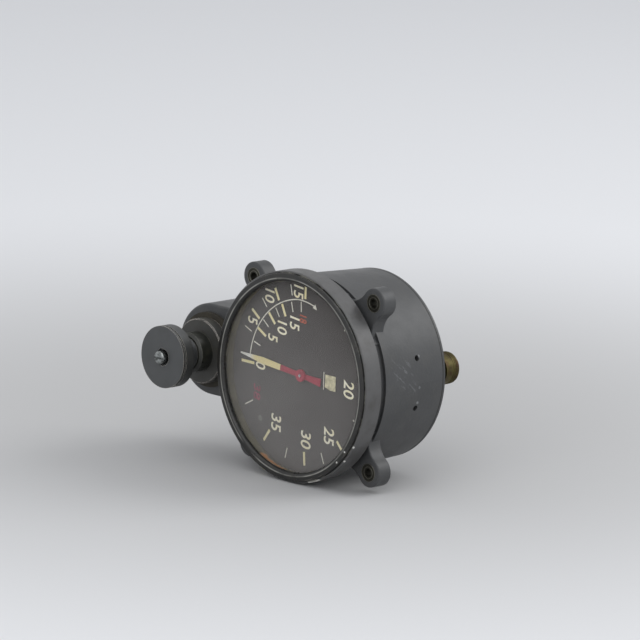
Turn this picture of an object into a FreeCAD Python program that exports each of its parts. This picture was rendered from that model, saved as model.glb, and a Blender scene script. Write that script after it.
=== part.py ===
import FreeCAD, Part
import math
import os
import re
import Sketcher

# Fuel quantity indicator with a tank selector switch, lying on its side as it does on a bench.
# The dial looks along -Y, twelve o'clock on the dial points along +X and the selector knob sits
# on the six o'clock side, along -X. The origin is the centre of the circle of the four panel
# holes, in the plane of the lugs' front faces. Lengths are in millimetres, angles in degrees.

Vector = FreeCAD.Vector
doc = FreeCAD.newDocument("fuel_quantity_indicator")
sheet = doc.addObject("Spreadsheet::Sheet", "sizes")

# Driving dimensions
sizes = {
    # Panel interface
    "lug_reach": 5.15,          # from the bezel's edge to the circle through the four panel holes
    "hole_turn": 45.0,          # the first lug's angle from twelve o'clock
    "thread_radius": 1.6,
    "insert_radius": 3.4,
    "lug_tip": 5.55,            # radius of the lug's round end
    "lug_root": 9.0,            # radius of the hollow between lug and case
    "lug_bite": 1.6,            # how far that hollow runs on inside the case wall
    "lug_depth": 6.3,
    "lug_edge": 0.5,
    # Bezel, glass and dial
    "bezel_radius": 39.3,
    "bezel_rim": 0.5,           # thin lip round the retaining ring
    "bezel_chamfer": 0.35,
    "skirt_setback": 2.2,
    "skirt_length": 8.0,
    "skirt_wall": 0.9,
    "bead_gap": 0.3,
    "bead_width": 3.2,
    "bead_height": 1.0,
    "bead_round": 0.4,          # outer corner of the retaining ring
    "bead_slope": 1.4,          # its wide round towards the glass
    "bead_flange": 0.7,
    "glass_recess": 1.8,
    "glass_thickness": 2.0,
    "glass_clearance": 0.3,
    "gasket_thickness": 0.4,
    "gasket_clearance": 0.2,
    "shoulder_thickness": 1.3,
    "spacer_recess": 1.6,       # how far the spacer ring lies behind the retaining ring's opening
    "spacer_wall": 0.45,
    "spacer_length": 3.1,
    "dial_thickness": 0.8,
    "dial_hole": 2.2,
    "fit_clearance": 0.05,
    # Case
    "spigot_run": 3.4,          # from the spigot's front edge to the neck
    "neck_step": 1.1,
    "case_step": 2.3,           # from the bezel's edge in to the barrel's front edge
    "case_taper": 1.5,
    "case_setback": 2.2,
    "case_length": 30.9,
    "case_wall": 2.3,           # at the rear edge
    "boss_inset": 4.3,
    "boss_radius": 3.2,
    "boss_length": 8.0,
    "edge_round": 0.8,
    # Rear cover and connector
    "seal_thickness": 0.4,
    "seal_width": 6.4,
    "cover_thickness": 1.4,
    "cover_chamfer": 0.5,
    "cover_screw": 1.1,
    "cover_head": 2.2,
    "cover_head_height": 1.3,
    "head_slot": 0.5,
    "head_slot_depth": 0.6,
    "cover_screw_length": 6.0,
    "plug_inset": 13.5,         # from the barrel's rear edge in to the connector's axis
    "plug_radius": 5.9,
    "plug_flange": 8.2,
    "plug_flange_height": 3.1,
    "plug_length": 15.1,
    "plug_groove_depth": 0.8,
    "plug_groove_width": 1.0,
    "plug_groove_place": 7.3,
    "plug_recess": 3.4,
    "plug_bore": 4.3,
    "plug_tail": 4.6,
    "plug_tail_thread": 5.3,
    "plug_chamfer": 0.4,
    "plug_nut": 7.8,
    "plug_nut_height": 2.6,
    "pin_radius": 0.5,
    "pin_circle": 2.5,
    "pin_count": 5,
    "pin_tail": 2.0,
    "pin_setback": 1.0,
    # Pointer and its spindle
    "rest_angle": 6.0,          # the pointer's angle from the zero mark
    "pointer_margin": 2.9,      # from the pointer's tip to the retaining ring's opening
    "pointer_waist": 20.5,      # where the long taper of the tip begins
    "pointer_width": 2.5,
    "pointer_tip": 0.5,
    "pointer_neck": 1.9,
    "pointer_tail": 10.3,
    "tail_width": 3.0,
    "pointer_thickness": 0.3,
    "pointer_height": 0.4,      # gap between dial and pointer
    "hub_radius": 2.3,
    "hub_height": 0.7,
    "hub_collar": 1.3,
    "spindle_radius": 0.6,
    "pivot_clearance": 0.04,
    # Movement
    "front_plate_radius": 24.0,
    "front_plate_setback": 5.4,
    "front_plate_thickness": 1.6,
    "base_gap": 13.8,
    "base_thickness": 3.6,
    "base_clearance": 0.1,
    "bearing_radius": 2.45,
    "pillar_circle": 19.0,
    "pillar_radius": 2.2,
    "pillar_count": 3,
    "pillar_screw": 1.0,
    "pillar_head": 2.0,
    "pillar_head_height": 1.4,
    "pillar_screw_length": 4.0,
    "coil_seat": 0.3,
    "coil_thickness": 1.6,
    "coil_clearance": 0.15,
    "coil_width": 4.0,
    "coil_gap": 3.0,
    "former_radius": 11.0,
    "former_wall": 1.2,
    "magnet_radius": 8.8,
    "magnet_thickness": 3.0,
    "collet_radius": 1.6,
    "collet_length": 1.8,
    "collet_gap": 1.5,
    "hairspring_width": 0.8,
    "hairspring_strip": 0.25,
    "hairspring_pitch": 1.3,
    "hairspring_turns": 5,
    "stud_radius": 0.9,
    "spool_inset": 13.1,        # from the movement base's edge in to the spools
    "spool_radius": 4.5,
    "spool_core": 3.3,
    "spool_length": 8.0,
    "spool_flange": 0.9,
    "spool_spread": 60.0,
    "grub_place": 19.8,
    "grub_radius": 1.1,
    "grub_sink": 0.9,
    "grub_spread": 30.0,
    "grub_reach": 1.5,
    # Selector switch
    "switch_reach": 15.2,       # from the bezel's edge to the selector's axis
    "housing_radius": 17.3,
    "housing_setback": 0.7,
    "housing_length": 26.3,
    "housing_wall": 2.5,
    "cavity_wall": 4.4,
    "deck_seat": 0.7,
    "deck_place": 13.3,
    "deck_thickness": 2.0,
    "lead_hole": 3.0,
    "ring_inset": 3.1,
    "ring_thickness": 1.7,
    "cap_step": 1.9,            # how far the seal ring shows round the cap
    "cap_height": 4.3,
    "cap_edge": 0.35,
    "cap_spigot_length": 7.0,
    "cap_nut_inset": 0.9,
    "cap_nut_width": 3.1,
    "cap_nut_thickness": 2.4,
    "bush_flange": 7.5,
    "bush_flange_height": 6.0,
    "bush_chamfer": 0.9,
    "bush_radius": 4.5,
    "shaft_radius": 3.0,
    "shaft_front": 18.2,
    "shaft_rear": 17.8,
    "knob_radius": 11.7,
    "knob_front": 23.8,
    "knob_thickness": 5.7,
    "knob_flange": 0.9,
    "knob_groove": 0.5,
    "knob_groove_width": 0.6,
    "knob_edge": 0.5,
    "knob_hub": 6.1,
    "knob_gap": 0.3,
    "knob_recess": 3.3,
    "knob_recess_depth": 1.0,
    "screw_head": 2.6,
    "screw_head_height": 3.2,
    "screw_dome": 0.8,
    "screw_slot": 0.7,
    "screw_slot_depth": 0.9,
    "screw_shank": 1.5,
    "screw_length": 9.0,
    "wheel_gap": 4.9,           # room for ball and spring between wheel and housing
    "wheel_thickness": 3.0,
    "wheel_place": 7.0,
    "notch_count": 8,
    "notch_radius": 2.0,
    "notch_depth": 0.6,
    "ball_radius": 1.5,
    "ball_gap": 0.1,
    "guide_wall": 0.8,
    "spring_wire": 0.2,
    "spring_turns": 2.5,
    "wiper_place": 11.2,
    "wiper_thickness": 1.6,
    "wiper_hub": 5.0,
    "wiper_width": 3.0,
    "wiper_end": 1.7,           # how far the arm runs on past its contact
    "wiper_bump": 0.5,
    "contact_inset": 4.4,       # from the switch cavity's wall in to the contacts
    "contact_radius": 1.2,
    "contact_spread": 90.0,
    "contact_count": 3,
    "contact_height": 0.6,
    "clip_radius": 4.8,
    "clip_thickness": 0.8,
    "clip_groove": 0.4,
    "back_cover_inset": 0.2,
    "back_cover_thickness": 1.6,
    "back_screw_inset": 1.8,
    "back_screw": 0.9,
    "back_head": 1.7,
    "back_head_height": 1.2,
    "back_screw_length": 5.0,
    "back_screw_count": 3,
    "deck_ring_wall": 1.1,
}

# Places and radii worked out from the driving dimensions; y runs from the dial to the connector
places = {
    "hole_radius": "bezel_radius + lug_reach",
    "skirt_rear": "-skirt_setback",
    "skirt_front": "skirt_rear - skirt_length",
    "bead_front": "skirt_front - bead_height",
    "rim_bore": "bezel_radius - bezel_rim",
    "bead_radius": "rim_bore - bead_gap",
    "opening_radius": "bead_radius - bead_width",
    "glass_front": "bead_front + glass_recess",
    "glass_rear": "glass_front + glass_thickness",
    "glass_radius": "rim_bore - glass_clearance",
    "shoulder_front": "glass_rear + gasket_thickness",
    "shoulder_rear": "shoulder_front + shoulder_thickness",
    "spacer_bore": "opening_radius + spacer_recess",
    "spacer_radius": "spacer_bore + spacer_wall",
    "seat_radius": "spacer_radius + 2 * fit_clearance",
    "dial_face": "glass_rear + spacer_length",
    "dial_rear": "dial_face + dial_thickness",
    "spigot_front": "shoulder_rear + fit_clearance",
    "skirt_bore": "bezel_radius - skirt_wall",
    "spigot_radius": "skirt_bore - fit_clearance",
    "neck_front": "spigot_front + spigot_run",
    "case_front": "bezel_radius - case_step",
    "case_rear": "case_front - case_taper",
    "case_bore": "case_rear - case_wall",
    "neck_radius": "case_front - neck_step",
    "boss_circle": "case_rear - boss_inset",
    "case_shoulder": "case_setback",
    "case_end": "case_shoulder + case_length",
    "boss_front": "case_end - boss_length",
    "cover_front": "case_end + seal_thickness",
    "cover_rear": "cover_front + cover_thickness",
    "pointer_reach": "opening_radius - pointer_margin",
    "pointer_rear": "dial_face - pointer_height",
    "pointer_front": "pointer_rear - pointer_thickness",
    "hub_front": "pointer_front - hub_height",
    "plate_front": "dial_rear + front_plate_setback",
    "plate_rear": "plate_front + front_plate_thickness",
    "base_front": "plate_rear + base_gap",
    "base_rear": "base_front + base_thickness",
    "base_radius": "case_bore - base_clearance",
    "spool_circle": "base_radius - spool_inset",
    "outer_coil_front": "plate_rear + coil_seat",
    "outer_coil_rear": "base_front - coil_seat",
    "inner_coil_front": "outer_coil_front + coil_thickness + coil_clearance",
    "inner_coil_rear": "outer_coil_rear - coil_thickness - coil_clearance",
    "former_front": "inner_coil_front + coil_thickness + coil_clearance",
    "former_rear": "inner_coil_rear - coil_thickness - coil_clearance",
    "former_middle": "(former_front + former_rear) / 2",
    "magnet_front": "former_middle - magnet_thickness / 2",
    "magnet_rear": "former_middle + magnet_thickness / 2",
    "pivot_bore": "spindle_radius + pivot_clearance",
    "collet_front": "plate_front - collet_gap - collet_length",
    "collet_rear": "collet_front + collet_length",
    "hairspring_front": "(collet_front + collet_rear - hairspring_width) / 2",
    "hairspring_start": "collet_radius + hairspring_strip",
    "hairspring_end": "hairspring_start + hairspring_turns * hairspring_pitch",
    "stud_place": "hairspring_end + hairspring_strip / 2 + stud_radius",
    "switch_offset": "bezel_radius + switch_reach",
    "cavity_radius": "housing_radius - cavity_wall",
    "ring_radius": "housing_radius - ring_inset",
    "cap_radius": "ring_radius - cap_step",
    "cap_nut_radius": "cavity_radius - cap_nut_inset",
    "cap_spigot": "cap_nut_radius - cap_nut_width",
    "back_cover_radius": "housing_radius - back_cover_inset",
    "back_screw_circle": "housing_radius - back_screw_inset",
    "housing_front": "housing_setback",
    "housing_end": "housing_front + housing_length",
    "cavity_front": "housing_front + housing_wall",
    "deck_front": "housing_front + deck_place",
    "deck_rear": "deck_front + deck_thickness",
    "contact_circle": "cavity_radius - contact_inset",
    "deck_bore": "cavity_radius + deck_seat",
    "deck_radius": "deck_bore - base_clearance",
    "ring_front": "housing_front - ring_thickness",
    "cap_front": "ring_front - cap_height",
    "cap_end": "ring_front + cap_spigot_length",
    "bush_front": "cap_front - bush_flange_height",
    "shaft_bore": "shaft_radius + pivot_clearance",
    "knob_end": "bush_front - knob_gap",
    "knob_face": "-knob_front",
    "disc_rear": "knob_face + knob_thickness",
    "shaft_start": "-shaft_front",
    "recess_floor": "knob_face + knob_recess_depth",
    "head_front": "recess_floor - screw_head_height",
    "wheel_rear": "wheel_place + wheel_thickness",
    "wheel_radius": "cavity_radius - wheel_gap",
    "wheel_middle": "(wheel_place + wheel_rear) / 2",
    "ball_place": "wheel_radius + ball_gap + ball_radius",
    "wiper_rear": "wiper_place + wiper_thickness",
    "wiper_reach": "contact_circle + wiper_end",
    "contact_front": "deck_front - contact_height",
    "clip_front": "deck_rear + fit_clearance",
    "back_cover_rear": "housing_end + back_cover_thickness",
    "plug_offset": "case_rear - plug_inset",
    "plug_end": "cover_rear + plug_length",
    "plug_seat": "plug_end - plug_recess",
    "plug_barrel": "cover_rear + plug_flange_height",
    "groove_start": "cover_rear + plug_groove_place",
    "groove_end": "groove_start + plug_groove_width",
    "plug_start": "cover_front - plug_tail",
    "grub_start": "base_radius - grub_reach",
    "grub_length": "case_rear - grub_sink - grub_start",
}

for row, name in enumerate(sizes, start=1):
    sheet.set("A%d" % row, name)
    sheet.set("B%d" % row, str(sizes[name]))
    sheet.setAlias("B%d" % row, name)
doc.recompute()


# Formulas and bindings
def formula(text):
    """Spell out a formula until it holds nothing but cells of the sheet."""
    def spell(match):
        word = match.group(0)
        if word in places:
            return "(%s)" % formula(places[word])
        return "sizes.%s" % word if word in sizes else word
    return re.sub(r"[a-z_]+", spell, str(text))


def number(text):
    answer = sheet.evalExpression(formula(text))
    return float(getattr(answer, "Value", answer))


def bind(item, target, text):
    item.setExpression(target, formula(text))


# Bodies, sketches and features
pieces = []


def keep(item, name):
    item.Label = name
    pieces.append(item)
    return item


def new_body(name, centre="0"):
    body = keep(doc.addObject("PartDesign::Body", name), name)
    bind(body, ".Placement.Base.x", centre)
    return body


def sketch_on(body, role, depth="0", turn="0"):
    """A sketch on one of the body's own planes, moved along the plane's normal and turned in it."""
    plane = [item for item in body.Origin.OriginFeatures if item.Role == role][0]
    sketch = body.newObject("Sketcher::SketchObject", body.Name + "_sketch")
    sketch.AttachmentSupport = [(plane, "")]
    sketch.MapMode = "FlatFace"
    flip = "-" if role == "XZ_Plane" else ""
    sketch.AttachmentOffset = FreeCAD.Placement(Vector(), FreeCAD.Rotation(Vector(0, 0, 1), number(turn)))
    bind(sketch, "AttachmentOffset.Base.z", "%s(%s)" % (flip, depth))
    return sketch


def radial_pocket(body, side, start, length):
    """A round pocket that runs outwards from a distance to the y axis, one of the two grub screws' ways."""
    half = side * number("grub_spread / 2")
    sketch = sketch_on(body, "YZ_Plane")
    sketch.AttachmentOffset = FreeCAD.Placement(Vector(), FreeCAD.Rotation(Vector(1, 0, 0), half))
    bind(sketch, "AttachmentOffset.Base.y", "-(%s) * sin(%s)" % (start, half))
    bind(sketch, "AttachmentOffset.Base.z", "(%s) * cos(%s)" % (start, half))
    draw_circle(sketch, "grub_place", "0", "grub_radius")
    pocket = body.newObject("PartDesign::Pocket", body.Name + "_grub_way")
    pocket.Profile = sketch
    pocket.Reversed = True
    bind(pocket, "Length", length)
    body.Tip = pocket
    return pocket


def pin_point(sketch, shape, end, x, y):
    """Hold one point of a shape at a place given by formulas."""
    for kind, text in (("DistanceX", x), ("DistanceY", y)):
        index = sketch.addConstraint(Sketcher.Constraint(kind, -1, 1, shape, end, number(text)))
        bind(sketch, "Constraints[%d]" % index, text)


def draw_outline(sketch, corners):
    first = sketch.GeometryCount
    count = len(corners)
    points = [Vector(number(x), number(y), 0) for x, y in corners]
    for index in range(count):
        sketch.addGeometry(Part.LineSegment(points[index], points[(index + 1) % count]), False)
    for index in range(count):
        following = first + (index + 1) % count
        sketch.addConstraint(Sketcher.Constraint("Coincident", first + index, 2, following, 1))
        pin_point(sketch, first + index, 1, *corners[index])
    return sketch


def draw_circle(sketch, x, y, radius):
    centre = Vector(number(x), number(y), 0)
    shape = sketch.addGeometry(Part.Circle(centre, Vector(0, 0, 1), number(radius)), False)
    index = sketch.addConstraint(Sketcher.Constraint("Radius", shape, number(radius)))
    bind(sketch, "Constraints[%d]" % index, radius)
    pin_point(sketch, shape, 3, x, y)
    return sketch


def box_corners(left, low, right, high):
    return [(left, low), (right, low), (right, high), (left, high)]


def revolve(body, corners):
    """Turn an outline, given as radius and y, about the body's y axis."""
    sketch = draw_outline(sketch_on(body, "XY_Plane"), corners)
    turned = body.newObject("PartDesign::Revolution", body.Name + "_turned")
    turned.Profile = sketch
    turned.ReferenceAxis = (sketch, ["V_Axis"])
    turned.Angle = 360
    body.Tip = turned
    return turned


def turned_piece(name, corners, centre="0"):
    body = new_body(name, centre)
    revolve(body, corners)
    return body


def ring_corners(inner, outer, front, rear):
    return box_corners(inner, front, outer, rear)


def extrude(body, sketch, length, cut=False):
    """Pad or pocket a sketch that lies across the y axis, always towards +y."""
    kind = "PartDesign::Pocket" if cut else "PartDesign::Pad"
    feature = body.newObject(kind, body.Name + ("_pocket" if cut else "_pad"))
    feature.Profile = sketch
    feature.Reversed = not cut
    bind(feature, "Length", length)
    body.Tip = feature
    return feature


def round_array(body, feature, axis, count, angle="360"):
    array = body.newObject("PartDesign::PolarPattern", body.Name + "_array")
    array.Originals = [feature]
    array.Axis = axis
    array.Occurrences = int(round(number(count)))
    array.Angle = number(angle)
    body.Tip = array
    return array


def drill(body, x, z, radius, front, depth, count="1", turn="0"):
    """Bore a hole along +y at one place, or the same hole at several places round the y axis."""
    sketch = draw_circle(sketch_on(body, "XZ_Plane", front, turn), x, z, radius)
    bore = extrude(body, sketch, depth, cut=True)
    if number(count) > 1:
        round_array(body, bore, (sketch, ["N_Axis"]), count)
    return bore


def soften(body, kind, size, test):
    """Round or chamfer the edges that the test picks."""
    doc.recompute()
    base = body.Tip
    names = ["Edge%d" % (index + 1) for index, edge in enumerate(base.Shape.Edges) if test(edge)]
    feature = body.newObject("PartDesign::" + kind, body.Name + "_" + kind.lower())
    feature.Base = (base, names)
    bind(feature, "Radius" if kind == "Fillet" else "Size", size)
    body.Tip = feature
    return feature


def is_ring(edge, radius, place):
    """True for a circle about the body's own y axis, of this radius, at this y."""
    curve = edge.Curve
    if curve.TypeId != "Part::GeomCircle":
        return False
    near = 1e-4
    centred = abs(curve.Center.x) < near and abs(curve.Center.z) < near
    return centred and abs(curve.Radius - number(radius)) < near and abs(curve.Center.y - number(place)) < near


def ring_test(*rings):
    return lambda edge: any(is_ring(edge, radius, place) for radius, place in rings)


# Case: spigot, neck, drafted barrel, four lugs and the switch housing in one casting
def make_case():
    body = new_body("case")
    extrude(body, draw_housing(sketch_on(body, "XZ_Plane", "housing_front")), "housing_length")
    soften(body, "Fillet", "edge_round", is_housing_edge)
    revolve(body, [
        ("case_bore", "dial_rear"), ("seat_radius", "dial_rear"), ("seat_radius", "spigot_front"),
        ("spigot_radius", "spigot_front"), ("spigot_radius", "neck_front"), ("neck_radius", "neck_front"),
        ("neck_radius", "case_shoulder"), ("case_front", "case_shoulder"), ("case_rear", "case_end"),
        ("case_bore", "case_end")])
    lug = draw_lug(sketch_on(body, "XZ_Plane", "0", "hole_turn"))
    pad = extrude(body, lug, "lug_depth")
    round_array(body, pad, (lug, ["N_Axis"]), "4")
    drill(body, "0", "0", "case_bore", "housing_front", "housing_length")
    boss = draw_circle(sketch_on(body, "XZ_Plane", "boss_front", "hole_turn"), "boss_circle", "0", "boss_radius")
    pad = extrude(body, boss, "boss_length")
    round_array(body, pad, (boss, ["N_Axis"]), "4")
    soften(body, "Fillet", "lug_edge", is_lug_edge)
    drill(body, "hole_radius", "0", "insert_radius", "0", "lug_depth", "4", "hole_turn")
    drill(body, "boss_circle", "0", "cover_screw", "case_end - cover_screw_length", "cover_screw_length", "4", "hole_turn")
    drill(body, "-switch_offset", "0", "cavity_radius", "cavity_front", "housing_length")
    drill(body, "-switch_offset", "0", "deck_bore", "deck_front", "housing_length")
    drill(body, "-switch_offset", "0", "cap_spigot + fit_clearance", "housing_front", "housing_wall")
    for step in range(int(sizes["back_screw_count"])):
        angle = back_screw_angle(step)
        drill(body, "-switch_offset + back_screw_circle * cos(%s)" % angle, "back_screw_circle * sin(%s)" % angle,
              "back_screw", "housing_end - back_screw_length", "back_screw_length")
    # Passage for the leads between the two hollows
    lead = sketch_on(body, "YZ_Plane", "-switch_offset")
    draw_circle(lead, "deck_rear + 2 * lead_hole", "0", "lead_hole")
    passage = body.newObject("PartDesign::Pocket", "lead_passage")
    passage.Profile = lead
    passage.Reversed = True
    bind(passage, "Length", "switch_offset - case_bore + 2 * lead_hole")
    body.Tip = passage
    # Holes for the two grub screws that hold the movement
    for side in (-1, 1):
        radial_pocket(body, side, "base_radius", "case_front - base_radius")
    return body


def back_screw_angle(step):
    return "(%d * 360 / back_screw_count)" % step


def draw_lug(sketch):
    """Round lug end that flows into the case by two hollow curves, which end inside the case wall."""
    case, reach = number("case_front - lug_bite"), number("hole_radius")
    tip, root = number("lug_tip"), number("lug_root")
    along = (reach ** 2 + (case + root) ** 2 - (tip + root) ** 2) / (2 * reach)
    across = math.sqrt((case + root) ** 2 - along ** 2)
    centre = Vector(reach, 0, 0)
    normal = Vector(0, 0, 1)
    ends = []
    for side in (1, -1):
        hollow = Vector(along, side * across, 0)
        toward_tip = centre - hollow
        at_tip = hollow + toward_tip.normalize() * root
        toward_axis = Vector(-hollow.x, -hollow.y, 0)
        at_case = hollow + toward_axis.normalize() * root
        ends.append((hollow, at_tip, at_case))
    (up, up_tip, up_case), (down, down_tip, down_case) = ends
    sweep = math.atan2(up_tip.y, up_tip.x - reach)
    end = sketch.addGeometry(Part.ArcOfCircle(Part.Circle(centre, normal, tip), -sweep, sweep), False)
    upper = sketch.addGeometry(arc_between(up, up_case, up_tip), False)
    lower = sketch.addGeometry(arc_between(down, down_tip, down_case), False)
    inner = number("(case_bore + neck_radius) / 2")
    sides = [Vector(inner, up_case.y, 0), Vector(inner, down_case.y, 0)]
    right = sketch.addGeometry(Part.LineSegment(up_case, sides[0]), False)
    back = sketch.addGeometry(Part.LineSegment(sides[0], sides[1]), False)
    left = sketch.addGeometry(Part.LineSegment(sides[1], down_case), False)
    guide = sketch.addGeometry(Part.Circle(Vector(), normal, case), True)
    for kind, shape, text in (("Radius", end, "lug_tip"), ("Radius", upper, "lug_root"),
                              ("Radius", lower, "lug_root"), ("Radius", guide, "case_front - lug_bite")):
        index = sketch.addConstraint(Sketcher.Constraint(kind, shape, number(text)))
        bind(sketch, "Constraints[%d]" % index, text)
    pin_point(sketch, end, 3, "hole_radius", "0")
    sketch.addConstraint(Sketcher.Constraint("Coincident", guide, 3, -1, 1))
    sketch.addConstraint(Sketcher.Constraint("Tangent", end, 2, upper, 2))
    sketch.addConstraint(Sketcher.Constraint("Tangent", end, 1, lower, 1))
    sketch.addConstraint(Sketcher.Constraint("Coincident", upper, 1, right, 1))
    sketch.addConstraint(Sketcher.Constraint("Coincident", right, 2, back, 1))
    sketch.addConstraint(Sketcher.Constraint("Coincident", back, 2, left, 1))
    sketch.addConstraint(Sketcher.Constraint("Coincident", left, 2, lower, 2))
    sketch.addConstraint(Sketcher.Constraint("Horizontal", right))
    sketch.addConstraint(Sketcher.Constraint("Horizontal", left))
    sketch.addConstraint(Sketcher.Constraint("Vertical", back))
    sketch.addConstraint(Sketcher.Constraint("Tangent", upper, 1, guide))
    sketch.addConstraint(Sketcher.Constraint("Tangent", lower, 2, guide))
    index = sketch.addConstraint(Sketcher.Constraint("DistanceX", -1, 1, right, 2, inner))
    bind(sketch, "Constraints[%d]" % index, "(case_bore + neck_radius) / 2")
    return sketch


def arc_between(centre, start, finish):
    """The short arc from start to finish, turning anticlockwise or not as the points lie."""
    first = math.atan2(start.y - centre.y, start.x - centre.x)
    last = math.atan2(finish.y - centre.y, finish.x - centre.x)
    middle = first + ((last - first + math.pi) % (2 * math.pi) - math.pi) / 2
    radius = (start - centre).Length
    halfway = centre + Vector(math.cos(middle), math.sin(middle), 0) * radius
    return Part.Arc(start, halfway, finish)


def draw_housing(sketch):
    """Round-ended housing outline whose flat sides run back into the case wall."""
    centre = Vector(-number("switch_offset"), 0, 0)
    radius = number("housing_radius")
    inner = -number("sqrt(neck_radius ^ 2 - housing_radius ^ 2)")
    circle = Part.Circle(centre, Vector(0, 0, 1), radius)
    end = sketch.addGeometry(Part.ArcOfCircle(circle, math.pi / 2, 3 * math.pi / 2), False)
    corners = [centre + Vector(0, radius, 0), Vector(inner, radius, 0), Vector(inner, -radius, 0),
               centre - Vector(0, radius, 0)]
    lines = [sketch.addGeometry(Part.LineSegment(corners[index], corners[index + 1]), False) for index in range(3)]
    index = sketch.addConstraint(Sketcher.Constraint("Radius", end, radius))
    bind(sketch, "Constraints[%d]" % index, "housing_radius")
    pin_point(sketch, end, 3, "-switch_offset", "0")
    for first, point, second, other in ((end, 1, lines[0], 1), (lines[0], 2, lines[1], 1),
                                        (lines[1], 2, lines[2], 1), (lines[2], 2, end, 2)):
        sketch.addConstraint(Sketcher.Constraint("Coincident", first, point, second, other))
    sketch.addConstraint(Sketcher.Constraint("Vertical", lines[1]))
    sketch.addConstraint(Sketcher.Constraint("Horizontal", lines[2]))
    pin_point(sketch, lines[0], 2, "-sqrt(neck_radius ^ 2 - housing_radius ^ 2)", "housing_radius")
    for point in (1, 2):
        index = sketch.addConstraint(Sketcher.Constraint("DistanceX", -1, 1, end, point, number("-switch_offset")))
        bind(sketch, "Constraints[%d]" % index, "-switch_offset")
    return sketch


def is_lug_edge(edge):
    """The edges round the front and rear faces of the lugs, outside the case."""
    box = edge.BoundBox
    on_face = box.YLength < 1e-4 and min(abs(box.YMin), abs(box.YMin - number("lug_depth"))) < 1e-4
    middle = edge.valueAt((edge.FirstParameter + edge.LastParameter) / 2)
    away = math.hypot(middle.x, middle.z) - number("case_front")
    beside = abs(middle.z) > number("housing_radius")
    return on_face and away > 0.3 and beside


def is_housing_edge(edge):
    """The front and rear edges of the switch housing, away from the case."""
    box = edge.BoundBox
    ends = (number("housing_front"), number("housing_end"))
    on_face = box.YLength < 1e-4 and min(abs(box.YMin - place) for place in ends) < 1e-4
    return on_face and box.XMin < -number("switch_offset") + 1e-3


# Bezel group
def make_bezel():
    body = turned_piece("bezel", [
        ("rim_bore", "skirt_front"), ("bezel_radius", "skirt_front"), ("bezel_radius", "skirt_rear"),
        ("skirt_bore", "skirt_rear"), ("skirt_bore", "shoulder_rear"),
        ("seat_radius", "shoulder_rear"), ("seat_radius", "shoulder_front"), ("rim_bore", "shoulder_front")])
    soften(body, "Chamfer", "bezel_chamfer", ring_test(("bezel_radius", "skirt_front"), ("bezel_radius", "skirt_rear")))
    return body


def make_glass_ring():
    body = turned_piece("glass_retaining_ring", [
        ("opening_radius", "glass_front"), ("opening_radius", "bead_front"), ("bead_radius", "bead_front"),
        ("bead_radius", "glass_front - bead_flange"), ("rim_bore - fit_clearance", "glass_front - bead_flange"),
        ("rim_bore - fit_clearance", "glass_front")])
    soften(body, "Fillet", "bead_round", ring_test(("bead_radius", "bead_front")))
    soften(body, "Fillet", "bead_slope", ring_test(("opening_radius", "bead_front")))
    return body


def make_front_group():
    turned_piece("cover_glass", ring_corners("0", "glass_radius", "glass_front", "glass_rear"))
    turned_piece("glass_gasket", ring_corners(
        "spacer_radius + gasket_clearance", "glass_radius", "glass_rear", "shoulder_front"))
    turned_piece("dial_spacer_ring", ring_corners("spacer_bore", "spacer_radius", "glass_rear", "dial_face"))
    turned_piece("dial_plate", ring_corners("dial_hole", "spacer_radius", "dial_face", "dial_rear"))


# Pointer: long tapered blade, round boss and a tail that widens
def make_pointer():
    body = new_body("pointer")
    sketch = sketch_on(body, "XZ_Plane", "pointer_front")
    sketch.AttachmentOffset = FreeCAD.Placement(
        sketch.AttachmentOffset.Base, FreeCAD.Rotation(Vector(0, 0, 1), -number("rest_angle")))
    half = [("-pointer_reach", "pointer_tip / 2"), ("-pointer_waist", "pointer_width / 2"),
            ("-hub_radius", "pointer_neck / 2"), ("hub_radius", "pointer_neck / 2"),
            ("pointer_tail", "tail_width / 2")]
    other = [(x, "-%s" % z) for x, z in reversed(half)]
    draw_outline(sketch, half + other)
    extrude(body, sketch, "pointer_thickness")
    boss = draw_circle(sketch_on(body, "XZ_Plane", "pointer_front"), "0", "0", "hub_radius")
    extrude(body, boss, "pointer_thickness")
    drill(body, "0", "0", "hub_collar", "pointer_front", "pointer_thickness")
    turned_piece("pointer_hub", [
        ("spindle_radius", "hub_front"), ("hub_radius", "hub_front"), ("hub_radius", "pointer_front"),
        ("hub_collar", "pointer_front"), ("hub_collar", "pointer_rear + pointer_thickness"),
        ("spindle_radius", "pointer_rear + pointer_thickness")])
    soften(pieces[-1], "Chamfer", "pointer_thickness / 2", ring_test(("hub_radius", "hub_front")))
    turned_piece("pointer_spindle", ring_corners("0", "spindle_radius", "hub_front", "base_rear - hub_height"))


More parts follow.
